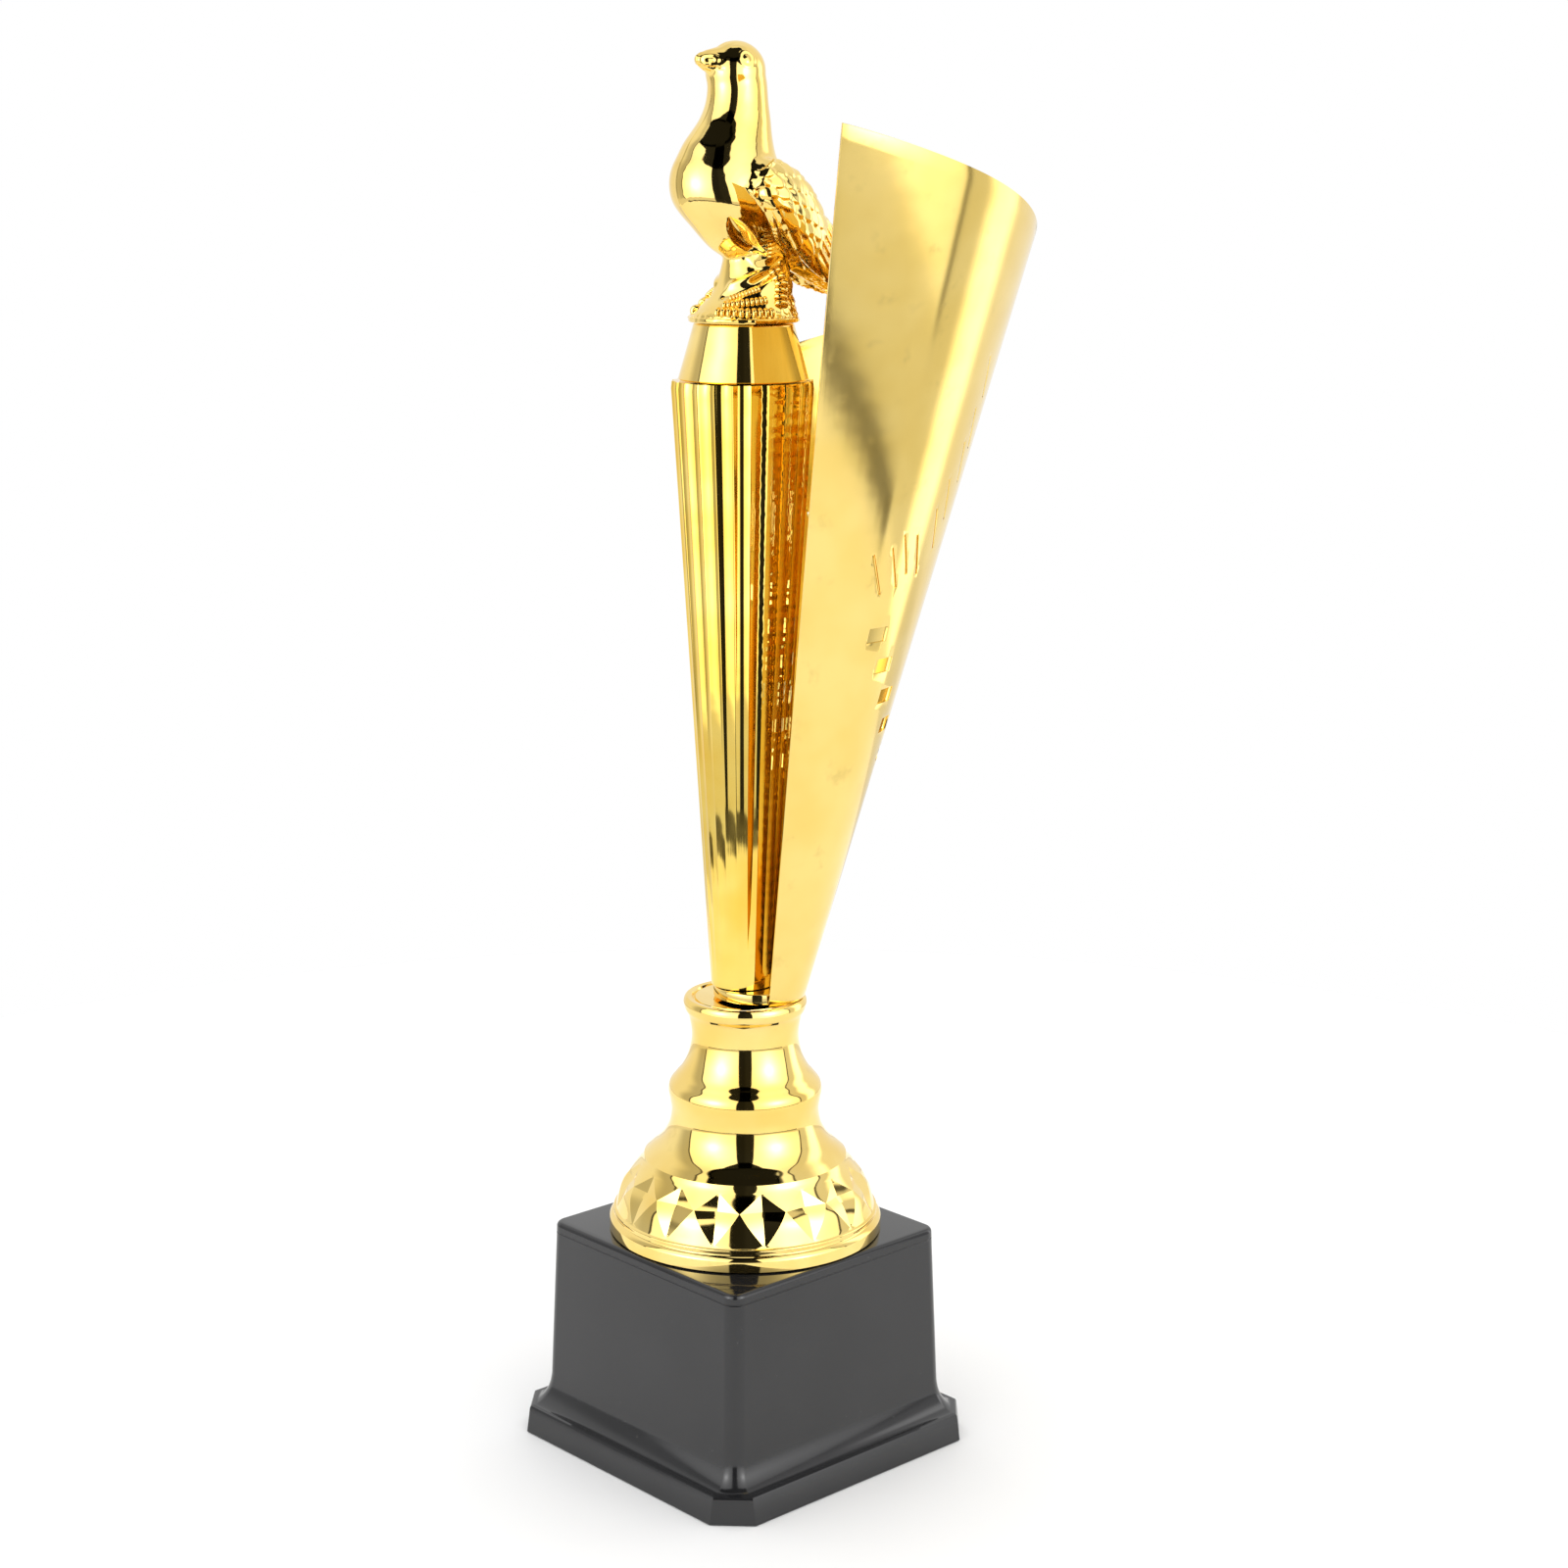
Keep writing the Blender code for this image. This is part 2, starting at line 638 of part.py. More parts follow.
def build_cup(collection, cutters, material):
    """Rolled sheet cup with a V of windows and two fans of slits."""
    bm = bmesh.new()
    rows = []
    for share in (0.0, 0.5, 1.0):
        row = []
        for step in range(CUP_COLUMNS + 1):
            angle = CUP_NEAR_EDGE + (CUP_FAR_EDGE - CUP_NEAR_EDGE) * step / CUP_COLUMNS
            row.append(bm.verts.new(cup_point(angle, cup_rim(angle) * share)))
        rows.append(row)
    for low, high in zip(rows, rows[1:]):
        for i in range(CUP_COLUMNS):
            bm.faces.new((low[i], low[i + 1], high[i + 1], high[i]))
    cup = new_object("cup", bm, collection, material)
    cup.location = sideways(CUP_AXIS_SHIFT, CUP_Z)
    sheet = cup.modifiers.new("Sheet", "SOLIDIFY")
    sheet.thickness = CUP_THICKNESS
    sheet.offset = -1.0
    sheet.use_even_offset = True
    bm = bmesh.new()
    for number in range(WINDOWS_EACH_SIDE):
        spread = WINDOW_FIRST_SPREAD - WINDOW_STEP * number
        height = WINDOW_FIRST_HEIGHT - WINDOW_DROP * number
        for side in (-1, 1):
            add_cutout(bm, side * spread, height, WINDOW_WIDTH, WINDOW_HEIGHT, 0.0)
    low_window = WINDOW_FIRST_HEIGHT - WINDOW_DROP * WINDOWS_EACH_SIDE
    add_cutout(bm, 0.0, low_window, WINDOW_WIDTH, WINDOW_HEIGHT, 0.0)
    for degrees, rise in SLIT_TIPS:
        tip = WINDOW_FIRST_HEIGHT + rise
        for side in (-1, 1):
            height = tip - SLIT_LENGTH / 2 * math.cos(SLIT_LEAN)
            arc = math.radians(degrees) * cup_radius(tip) - SLIT_LENGTH / 2 * math.sin(SLIT_LEAN)
            add_cutout(bm, side * arc, height, SLIT_WIDTH, SLIT_LENGTH, side * SLIT_LEAN)
    pierce = new_object("cup_cutters", bm, cutters)
    pierce.location = cup.location
    cutter_settings(pierce)
    add_boolean(cup, pierce, "DIFFERENCE")
    return cup


def main():
    """Build every piece of the trophy."""
    clear_scene()
    trophy = new_collection("pigeon_trophy_cup")
    cutters = new_collection("cutters")
    black = new_material("plinth_black", (0.020, 0.020, 0.022), 0.0, 0.35)
    riser_gold = new_material("riser_gold", (0.90, 0.66, 0.22), 1.0, 0.12)
    collar_gold = new_material("collar_gold", (0.88, 0.63, 0.20), 1.0, 0.15)
    column_gold = new_material("column_gold", (0.90, 0.64, 0.18), 1.0, 0.12)
    cap_gold = new_material("cap_gold", (0.90, 0.66, 0.22), 1.0, 0.10)
    pigeon_gold = new_material("pigeon_gold", (0.90, 0.66, 0.22), 1.0, 0.12)
    cup_gold = new_material("cup_gold", (0.88, 0.68, 0.28), 1.0, 0.20)
    build_plinth(trophy, black)
    build_riser(trophy, cutters, riser_gold)
    build_collar(trophy, collar_gold)
    build_column(trophy, column_gold)
    build_cap(trophy, cap_gold)
    build_pigeon(trophy, cutters, pigeon_gold)
    build_cup(trophy, cutters, cup_gold)


main()
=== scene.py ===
"""Looks of the pigeon trophy cup: fine meshes, mirror gold and glossy black finishes, soft studio."""

import math

import bmesh
import bpy
import numpy as np
from mathutils import Matrix, Vector, noise


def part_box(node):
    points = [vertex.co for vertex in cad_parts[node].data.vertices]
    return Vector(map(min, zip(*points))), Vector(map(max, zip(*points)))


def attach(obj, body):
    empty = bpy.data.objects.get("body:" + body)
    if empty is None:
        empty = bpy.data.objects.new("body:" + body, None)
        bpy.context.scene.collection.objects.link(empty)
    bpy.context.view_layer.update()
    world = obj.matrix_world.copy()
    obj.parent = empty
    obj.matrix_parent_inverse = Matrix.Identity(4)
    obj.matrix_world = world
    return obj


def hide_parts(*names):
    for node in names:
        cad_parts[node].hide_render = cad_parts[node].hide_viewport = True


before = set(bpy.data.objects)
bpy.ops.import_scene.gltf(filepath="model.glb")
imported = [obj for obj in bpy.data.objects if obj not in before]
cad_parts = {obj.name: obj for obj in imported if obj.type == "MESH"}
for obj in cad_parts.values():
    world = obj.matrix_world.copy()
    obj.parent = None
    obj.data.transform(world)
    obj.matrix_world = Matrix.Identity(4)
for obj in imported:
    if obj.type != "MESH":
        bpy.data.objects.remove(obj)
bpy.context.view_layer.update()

bl_info = {
    "name": "Pigeon trophy cup",
    "version": (1, 0, 0),
    "blender": (4, 5, 0),
    "location": "3D View > Sidebar > Trophy",
    "description": "Builds the finished surfaces of a pigeon trophy cup and a soft studio around it",
    "category": "Object",
}

MM = 0.001

# Places and sizes read from the frame
PLINTH_LOW, PLINTH_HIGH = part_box("plinth")
RISER_LOW, RISER_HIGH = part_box("riser")
COLLAR_LOW, COLLAR_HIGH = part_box("collar")
COLUMN_LOW, COLUMN_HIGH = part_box("fluted_column")
CAP_LOW, CAP_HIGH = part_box("column_cap")
PIGEON_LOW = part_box("pigeon")[0]
CUP_LOW, CUP_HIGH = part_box("cup")

# The photo's camera: turned round from the plinth's front, level distance, height and downward pitch
VIEW_TURN = math.radians(47.7)
VIEW_SIDE = VIEW_TURN - math.pi / 2
VIEW_DISTANCE = 0.7757
VIEW_HEIGHT = 0.3591
VIEW_PITCH = math.radians(12.5)
VIEW_LENS = 67.5
VIEW_SHIFT = 0.0257

# Reflector shell: height of its middle, then degrees from the viewer or above the level
SHELL_HEIGHT = 0.09
BOX_FOOT = -8.0
BOX_HEART = (48.0, 20.0)
BOX_HEART_SPREAD = (13.0, 14.0)
STRIPE_SPAN = (104.0, 122.0)
GAP_FOOT = -28.0
CANOPY_SPAN = (51.0, 82.0)

# Dark card round the table's rim: how far it passes the table, and its depth in front and at the sides
CARD_PAST = 0.02
CARD_FRONT_INNER = 0.35
CARD_SIDE_DEPTH = 0.055
CARD_LEAST_DEPTH = 0.020
CARD_RAGGED_DEPTH = 0.055

# Plinth
PLINTH_LOW_SIDE = 0.0794
PLINTH_LOW_HEIGHT = 0.0160
PLINTH_TOP_SIDE = 0.0766
PLINTH_CORNER_RADIUS = 0.0042
FOOT_SIDE = PLINTH_HIGH.x - PLINTH_LOW.x
FOOT_EDGE_SIDE = FOOT_SIDE - 0.0025
FOOT_CUT = 0.0087
FOOT_HEIGHT = 0.0079
COVE = ((0.90, 0.0), (0.66, 0.02), (0.40, 0.16), (0.18, 0.40), (0.06, 0.68), (0.0, 1.0))
CREASE = ((0.0, -0.00025), (0.00016, -0.00008), (0.00016, 0.00008), (0.0, 0.00025))
CORNER_POINTS = 14

# Riser stations as radius and height over its foot, from flange to lip
FLANGE_RADIUS = (RISER_HIGH.x - RISER_LOW.x) / 2
RISER_HEIGHT = RISER_HIGH.z - RISER_LOW.z
RISER_STATIONS = (
    (FLANGE_RADIUS, 0.0027),
    (0.0360, 0.0062),
    (0.0280, 0.0211),
    (0.0204, 0.0340),
    (0.0212, 0.0398),
    (0.01473, 0.0553),
    (0.0170, 0.0646),
)
DIAMOND_MIDDLE = (0.44, 0.57)
DIAMOND_TOP = (0.88, 0.87)
DIAMOND_TILT = 0.12
DIAMOND_FILL = 0.985
RISER_STRETCHES = (
    ((0.06, 0.17), (0.35, 0.37), (0.71, 0.54), (0.65, 0.86)),
    ((0.19, 0.36), DIAMOND_MIDDLE, DIAMOND_TOP),
    ((0.21, 0.11), (0.51, 0.27), (0.75, 0.46), (0.93, 0.70)),
    ((0.60, 0.61),),
    ((0.07, 0.13), (0.31, 0.26), (0.59, 0.41), (0.87, 0.67)),
    ((0.33, 0.57), (0.79, 0.81)),
)

# Column and its cap
COLUMN_FOOT_RADIUS = 0.0086
COLUMN_TOP_RADIUS = 0.0191
FLUTE_TURN = math.radians(-8.0)
CAP_TOP_RADIUS = 0.0133

# Cup cone, seen from above round its own axis, and its rim
CUP_SLOPE = 0.285
CUP_NEAR_EDGE = math.radians(13.8)
CUP_FAR_EDGE = math.radians(185.0)
CUP_NEAR_HEIGHT = CUP_HIGH.z - CUP_LOW.z
CUP_RIM_FALL = 0.0195
CUP_RIM_SAG = 0.0032
CUP_RIM_EASE = 0.00082
WINDOW_WIDTH = 0.0070
WINDOW_HEIGHT = 0.0040
WINDOWS_EACH_SIDE = 5
WINDOW_STEP = 0.0078
WINDOW_DROP = 0.0090
WINDOW_FIRST_SPREAD = 0.0404
WINDOW_FIRST_HEIGHT = 0.1047
SLIT_WIDTH = 0.0008
SLIT_LENGTH = 0.0120
SLIT_LEAN = math.radians(24.0)
SLIT_TIPS = (
    (61.4, 0.0220),
    (54.6, 0.0233),
    (50.6, 0.0265),
    (44.2, 0.0258),
    (36.7, 0.0320),
    (33.6, 0.0393),
    (29.9, 0.0486),
    (29.0, 0.0573),
    (29.6, 0.0706),
)

# Pigeon: forward, height and left are shares of its height; forward is -Y before it is turned
PIGEON_HEIGHT = 0.0706
PIGEON_TURN = math.radians(-8.3)
DISC_HEIGHT = 0.0014
DISC_RADIUS = 0.0146
BODY_LEVELS = (
    (0.185, -0.02, -0.20, 0.030),
    (0.215, 0.045, -0.36, 0.078),
    (0.260, 0.125, -0.44, 0.128),
    (0.300, 0.168, -0.43, 0.162),
    (0.345, 0.207, -0.37, 0.187),
    (0.390, 0.250, -0.32, 0.201),
    (0.432, 0.281, -0.285, 0.207),
    (0.475, 0.294, -0.227, 0.201),
    (0.517, 0.295, -0.172, 0.190),
    (0.560, 0.285, -0.132, 0.174),
    (0.602, 0.263, -0.114, 0.158),
    (0.645, 0.240, -0.106, 0.142),
    (0.688, 0.206, -0.101, 0.127),
    (0.730, 0.174, -0.098, 0.116),
    (0.785, 0.149, -0.090, 0.107),
    (0.840, 0.141, -0.086, 0.102),
    (0.870, 0.145, -0.084, 0.100),
)
WING_LEAN = math.radians(22.0)
WING_PATH = (
    (0.090, 0.515, 0.160, 0.038, 0.020),
    (0.033, 0.520, 0.186, 0.082, 0.037),
    (-0.048, 0.472, 0.188, 0.108, 0.045),
    (-0.124, 0.396, 0.172, 0.121, 0.047),
    (-0.200, 0.310, 0.146, 0.113, 0.043),
    (-0.290, 0.230, 0.114, 0.091, 0.036),
    (-0.405, 0.150, 0.080, 0.058, 0.027),
    (-0.560, 0.062, 0.046, 0.018, 0.014),
)
TAIL_PATH = (
    (-0.230, 0.245, 0.0, 0.100, 0.070),
    (-0.370, 0.155, 0.0, 0.098, 0.045),
    (-0.520, 0.070, 0.0, 0.104, 0.026),
    (-0.640, 0.005, 0.0, 0.112, 0.013),
)
ROCK_LEVELS = (
    (-0.005, 0.199, -0.204, 0.201),
    (0.012, 0.198, -0.202, 0.198),
    (0.030, 0.194, -0.198, 0.190),
    (0.050, 0.168, -0.193, 0.180),
    (0.074, 0.145, -0.190, 0.167),
    (0.094, 0.129, -0.183, 0.156),
    (0.136, 0.099, -0.188, 0.140),
    (0.178, 0.084, -0.163, 0.118),
    (0.221, 0.076, -0.128, 0.096),
    (0.264, 0.060, -0.100, 0.070),
)
BEAK_PATH = (
    (0.060, 0.925, 0.0, 0.078, 0.062),
    (0.125, 0.931, 0.0, 0.054, 0.052),
    (0.165, 0.935, 0.0, 0.037, 0.038),
    (0.195, 0.937, 0.0, 0.023, 0.025),
    (0.210, 0.935, 0.0, 0.011, 0.012),
)
SHANK_PATH = (
    (-0.080, 0.225, 0.100, 0.034, 0.036),
    (-0.105, 0.165, 0.100, 0.028, 0.029),
    (-0.055, 0.065, 0.096, 0.027, 0.028),
    (-0.035, 0.030, 0.096, 0.032, 0.030),
)
TOE_PATH = (
    (-0.050, 0.040, 0.0, 0.024, 0.024),
    (0.050, 0.034, 0.6, 0.021, 0.023),
    (0.120, 0.018, 1.0, 0.017, 0.018),
    (0.158, 0.004, 1.2, 0.009, 0.010),
)
TOE_SPREADS = (-0.046, 0.0, 0.046)
RIB_RUNS = (
    ((105.0, 0.205), (102.0, 0.065), 0.00150, 0.00165),
    ((88.0, 0.036), (24.0, 0.038), 0.00095, 0.00150),
    ((78.0, 0.082), (26.0, 0.064), 0.00075, 0.00118),
    ((66.0, 0.122), (30.0, 0.090), 0.00060, 0.00078),
)
LEG_OUT = 0.096

# Wing's root and run as shares, for its feathers
WING_ROOT = (0.050, 0.517)
WING_RUN = (-0.610, -0.455)

# Marks on the bird as forward and height in mm, with directions that slope down and back
EYE = (3.4, 66.4)
CERE = (11.8, 66.1)
LEAF_TIP = (11.3, 26.9)
LEAF_RUN = (0.786, 0.618)
LEAF_LENGTH = 15.5
RIDGE_TOP = (-4.7, 15.3)
RIDGE_RUN = (0.891, 0.454)


class Term:
    """A node socket that Python sums can be written with."""

    def __init__(self, graph, socket):
        self.graph = graph
        self.socket = socket

    def joined(self, operation, first, second):
        """Math node of two terms or numbers."""
        made = self.graph.node("ShaderNodeMath", {"operation": operation}, {0: first, 1: second})
        return Term(self.graph, made.outputs[0])

    def __add__(self, other):
        return self.joined("ADD", self, other)

    def __radd__(self, other):
        return self.joined("ADD", other, self)

    def __sub__(self, other):
        return self.joined("SUBTRACT", self, other)

    def __rsub__(self, other):
        return self.joined("SUBTRACT", other, self)

    def __mul__(self, other):
        return self.joined("MULTIPLY", self, other)

    def __rmul__(self, other):
        return self.joined("MULTIPLY", other, self)

    def __truediv__(self, other):
        return self.joined("DIVIDE", self, other)

    def __rtruediv__(self, other):
        return self.joined("DIVIDE", other, self)

    def __pow__(self, other):
        return self.joined("POWER", self, other)

    def sine(self):
        """Sine of the term."""
        return self.joined("SINE", self, 0.0)

    def size(self):
        """The term without its sign."""
        return self.joined("ABSOLUTE", self, 0.0)

    def over(self, level):
        """1 where the term is above a level, else 0."""
        return self.joined("GREATER_THAN", self, level)

    def ramp(self, low, high):
        """Smooth 0 to 1 between two levels."""
        made = self.graph.node(
            "ShaderNodeMapRange",
            {"interpolation_type": "SMOOTHSTEP"},
            {"Value": self, "From Min": low, "From Max": high},
        )
        return Term(self.graph, made.outputs[0])

    def within(self, low, high, soft):
        """1 between two levels with soft edges, else 0."""
        return self.ramp(low - soft, low + soft) * (high - self).ramp(-soft, soft)


class Graph:
    """A node tree with one short way to add nodes."""

    def __init__(self, tree):
        self.tree = tree
        tree.nodes.clear()

    def node(self, kind, settings=None, inputs=None):
        """Add a node; settings come first, then the values or terms of its sockets."""
        made = self.tree.nodes.new(kind)
        for name, value in (settings or {}).items():
            setattr(made, name, value)
        for key, value in (inputs or {}).items():
            if isinstance(value, Term):
                self.tree.links.new(value.socket, made.inputs[key])
            else:
                made.inputs[key].default_value = value
        return made

    def term(self, kind, settings=None, inputs=None, output=0):
        """Add a node and return one of its outputs as a term."""
        return Term(self, self.node(kind, settings, inputs).outputs[output])

    def noise(self, place, scale, detail=3.0, roughness=0.5):
        """Cloudy value from 0 to 1."""
        inputs = {"Vector": place, "Scale": scale, "Detail": detail, "Roughness": roughness}
        return self.term("ShaderNodeTexNoise", {}, inputs)

    def split(self, vector):
        """The three parts of a vector."""
        return [Term(self, socket) for socket in self.node("ShaderNodeSeparateXYZ", {}, {0: vector}).outputs]

    def mixed(self, share, first, second):
        """Colour between two colours."""
        made = self.node("ShaderNodeMix", {"data_type": "RGBA"})
        for place, value in ((0, share), (6, first), (7, second)):
            if isinstance(value, Term):
                self.tree.links.new(value.socket, made.inputs[place])
            elif place:
                made.inputs[place].default_value = (*value[:3], 1.0)
            else:
                made.inputs[place].default_value = value
        return Term(self, made.outputs[2])


def surface_graph(name):
    """New material and its empty graph with Object coordinates ready."""
    material = bpy.data.materials.new(name)
    material.use_nodes = True
    graph = Graph(material.node_tree)
    place = graph.term("ShaderNodeTexCoord", output=3)
    return material, graph, place


def finish_surface(graph, fixed, changing, height, strength, reach):
    """Principled shader with fixed values, changing terms and a bump from a height term."""
    bump = graph.term("ShaderNodeBump", {}, {"Strength": strength, "Distance": reach, "Height": height})
    shader = graph.term("ShaderNodeBsdfPrincipled", {}, {**fixed, **changing, "Normal": bump})
    graph.node("ShaderNodeOutputMaterial", {}, {"Surface": shader})


def gold_finish(name, light, deep, rough, smudge, wave, weave=0.0):
    """Mirror gold coat on a moulding: faint tone drift, smudges, fine pits, a slow ripple and any weave."""
    material, graph, place = surface_graph(name)
    tone = graph.noise(place, 55.0, 2.0).ramp(0.30, 0.70)
    grime = graph.noise(place, 130.0, 5.0, 0.62).ramp(0.58, 0.80)
    pits = graph.noise(place, 1700.0, 2.0).ramp(0.74, 0.82)
    ripple = graph.noise(place, 120.0, 1.0)
    colour = graph.mixed(tone, light, deep)
    colour = graph.mixed(grime * (smudge * 0.5), colour, tuple(part * 0.60 for part in deep))
    roughness = rough + grime * (0.10 * smudge) + pits * 0.08
    height = ripple - pits * 0.03
    if weave:
        x, y, z = graph.split(place)
        toward_cup = (x * math.cos(VIEW_TURN) + y * math.sin(VIEW_TURN)).ramp(0.0035, 0.0060)
        strand = (z * (math.tau / 0.0034) + graph.noise(place, 400.0, 2.0) * 5.0).sine()
        height = height + strand * toward_cup * (weave * 0.9)
    changing = {"Base Color": colour, "Roughness": roughness}
    finish_surface(graph, {"Metallic": 1.0, "IOR": 1.45}, changing, height, wave, 0.0004)
    return material


def black_finish(name, colour, dust):
    """Glossy black moulding with faint level brushing, a few dust specks and a fine orange peel."""
    material, graph, place = surface_graph(name)
    stretched = graph.term("ShaderNodeMapping", {}, {"Vector": place, "Scale": (40.0, 40.0, 900.0)})
    hair = graph.noise(stretched, 1.6, 3.0, 0.6).ramp(0.60, 0.78)
    specks = graph.noise(place, 1300.0, 2.0).ramp(0.76, 0.80)
    cloud = graph.noise(place, 45.0, 4.0).ramp(0.35, 0.75)
    tone = graph.mixed(cloud * 0.5, colour, tuple(part * 1.4 + 0.002 for part in colour))
    tone = graph.mixed(specks * 0.35, tone, dust)
    level = graph.split(graph.term("ShaderNodeNewGeometry", output=1))[2].ramp(0.90, 0.98)
    roughness = (0.13 + cloud * 0.05 + hair * 0.06) * (1.0 - level * 0.6) + specks * 0.20
    height = graph.noise(place, 700.0, 2.0) * 0.15 - hair * 0.12 + specks * 0.3
    changing = {"Base Color": tone, "Roughness": roughness}
    finish_surface(graph, {"IOR": 1.50, "Specular IOR Level": 0.58}, changing, height, 0.08, 0.00006)
    return material


def floor_finish(colour):
    """Matte pale studio floor with a barely seen drift in tone."""
    material, graph, place = surface_graph("studio_floor")
    drift = graph.noise(place, 3.0, 3.0)
    tone = graph.mixed(drift * 0.3, colour, tuple(part * 0.97 for part in colour))
    finish_surface(graph, {}, {"Base Color": tone, "Roughness": 0.9 + drift * 0.05}, drift, 0.02, 0.001)
    return material


def spline(stations, steps):
    """Smooth row of points through stations of any length, by Catmull and Rom's rule."""
    rows = np.array(stations, float)
    rows = np.vstack((2 * rows[0] - rows[1], rows, 2 * rows[-1] - rows[-2]))
    points = []
    for i in range(1, len(rows) - 2):
        before, start, end, after = rows[i - 1:i + 3]
        for step in range(steps):
            t = step / steps
            points.append(0.5 * (
                2 * start
                + (end - before) * t
                + (2 * before - 5 * start + 4 * end - after) * t ** 2
                + (3 * start - before - 3 * end + after) * t ** 3
            ))
    points.append(rows[-2])
    return points


def in_scene(name, data):
    """New object in the scene from its data."""
    made = bpy.data.objects.new(name, data)
    bpy.context.scene.collection.objects.link(made)
    return made


def blank_object(name, bm=None):
    """New object in the scene, from a bmesh or an empty mesh."""
    mesh = bpy.data.meshes.new(name)
    if bm:
        bm.to_mesh(mesh)
        bm.free()
    return in_scene(name, mesh)


def modified(item, kind, **settings):
    """Add a modifier with its settings to an object."""
    modifier = item.modifiers.new(kind.title(), kind)
    for name, value in settings.items():
        setattr(modifier, name, value)
    return modifier


def settled(item, name):
    """Plain mesh object from an object with modifiers, with its place in its mesh."""
    bpy.context.view_layer.update()
    graph = bpy.context.evaluated_depsgraph_get()
    mesh = bpy.data.meshes.new_from_object(item.evaluated_get(graph))
    mesh.transform(item.matrix_world)
    mesh.name = name
    bpy.data.objects.remove(item, do_unlink=True)
    return in_scene(name, mesh)


def smooth_shaded(item, degrees):
    """Smooth shading with edges sharper than an angle kept crisp."""
    item.data.shade_smooth()
    item.data.set_sharp_from_angle(angle=math.radians(degrees))


def placed(item, material, slot, *nodes):
    """Give a finished piece its material and its place in the frame; the slot is not used."""
    item.data.materials.clear()
    item.data.materials.append(material)
    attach(item, "root")
    if nodes:
        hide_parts(*nodes)


def add_loft(bm, rings):
    """Join rings of equal length with quads and close both ends."""
    rows = [[bm.verts.new(point) for point in ring] for ring in rings]
    count = len(rows[0])
    made = []
    for low, high in zip(rows, rows[1:]):
        for i in range(count):
            j = (i + 1) % count
            made.append(bm.faces.new((low[i], low[j], high[j], high[i])))
    made.append(bm.faces.new(list(reversed(rows[0]))))
    made.append(bm.faces.new(rows[-1]))
    bmesh.ops.recalc_face_normals(bm, faces=made)


def turned(name, profile, steps, place):
    """Revolve a profile of (radius, height) pairs that runs from top to bottom."""
    bm = bmesh.new()
    points = [bm.verts.new((radius, 0.0, height)) for radius, height in profile]
    for start, end in zip(points, points[1:]):
        bm.edges.new((start, end))
    made = blank_object(name + "_outline", bm)
    made.location = place
    modified(
        made, "SCREW", axis="Z", angle=math.tau, steps=steps, render_steps=steps,
        use_merge_vertices=True, merge_threshold=0.00002,
    )
    return made


def quarter_turn(steps):
    """Cosine and sine at even steps through a right angle."""
    angles = [math.pi / 2 * step / steps for step in range(steps + 1)]
    return [(math.cos(angle), math.sin(angle)) for angle in angles]


def middle_of(low, high):
    """Centre of a box in plan, at its lower height."""
    return Vector(((low.x + high.x) / 2, (low.y + high.y) / 2, low.z))


def square_ring(side, cut, roundness, height):
    """Points round a square whose corners go from a straight cut (0) to a full arc (1)."""
    half = side / 2
    points = []
    for corner in range(4):
        turn = Matrix.Rotation(corner * math.pi / 2, 3, "Z")
        for step, (cosine, sine) in enumerate(quarter_turn(CORNER_POINTS - 1)):
            share = step / (CORNER_POINTS - 1)
            straight = Vector((half - cut * share, half - cut * (1 - share), height))
            arc = Vector((half - cut + cut * cosine, half - cut + cut * sine, height))
            points.append(turn @ straight.lerp(arc, roundness))
    return points


def build_plinth(sizes, colours):
    """Black plinth with a coved foot, a fine crease under its rounded top edge and soft arrises."""
    radius = PLINTH_CORNER_RADIUS
    edge = sizes.plinth_rounding
    top = PLINTH_HIGH.z
    bevel = 0.0008
    rings = [
        square_ring(FOOT_SIDE - 0.0006, FOOT_CUT, 0.0, 0.0),
        square_ring(FOOT_SIDE, FOOT_CUT, 0.0, 0.0004),
        square_ring(FOOT_EDGE_SIDE + 0.0002, FOOT_CUT - 0.0012, 0.0, FOOT_HEIGHT - bevel),
        square_ring(FOOT_EDGE_SIDE - 0.0004, FOOT_CUT - 0.0013, 0.0, FOOT_HEIGHT - bevel * 0.3),
    ]
    spread = FOOT_EDGE_SIDE - PLINTH_LOW_SIDE
    flare = PLINTH_LOW_HEIGHT - FOOT_HEIGHT
    for outward, upward in spline(COVE, 4):
        side = PLINTH_LOW_SIDE + spread * outward
        cut = radius + (FOOT_CUT - radius) * outward ** 2
        rings.append(square_ring(side, cut, max(1 - outward, 0.0) ** 1.3, FOOT_HEIGHT + flare * upward))
    crease = top - edge - 0.0016
    crease_side = PLINTH_TOP_SIDE + 0.00008
    for inward, drop in CREASE:
        rings.append(square_ring(crease_side - 2 * inward, radius, 1.0, crease + drop))
    for cosine, sine in quarter_turn(8):
        inward = edge * (1 - cosine)
        rings.append(square_ring(PLINTH_TOP_SIDE - 2 * inward, radius - inward, 1.0, top - edge * (1 - sine)))
    bm = bmesh.new()
    add_loft(bm, rings)
    plinth = blank_object("moulded_plinth", bm)
    smooth_shaded(plinth, 25)
    placed(plinth, black_finish("glossy_black", colours.plinth, colours.dust), "plinth_black", "plinth")


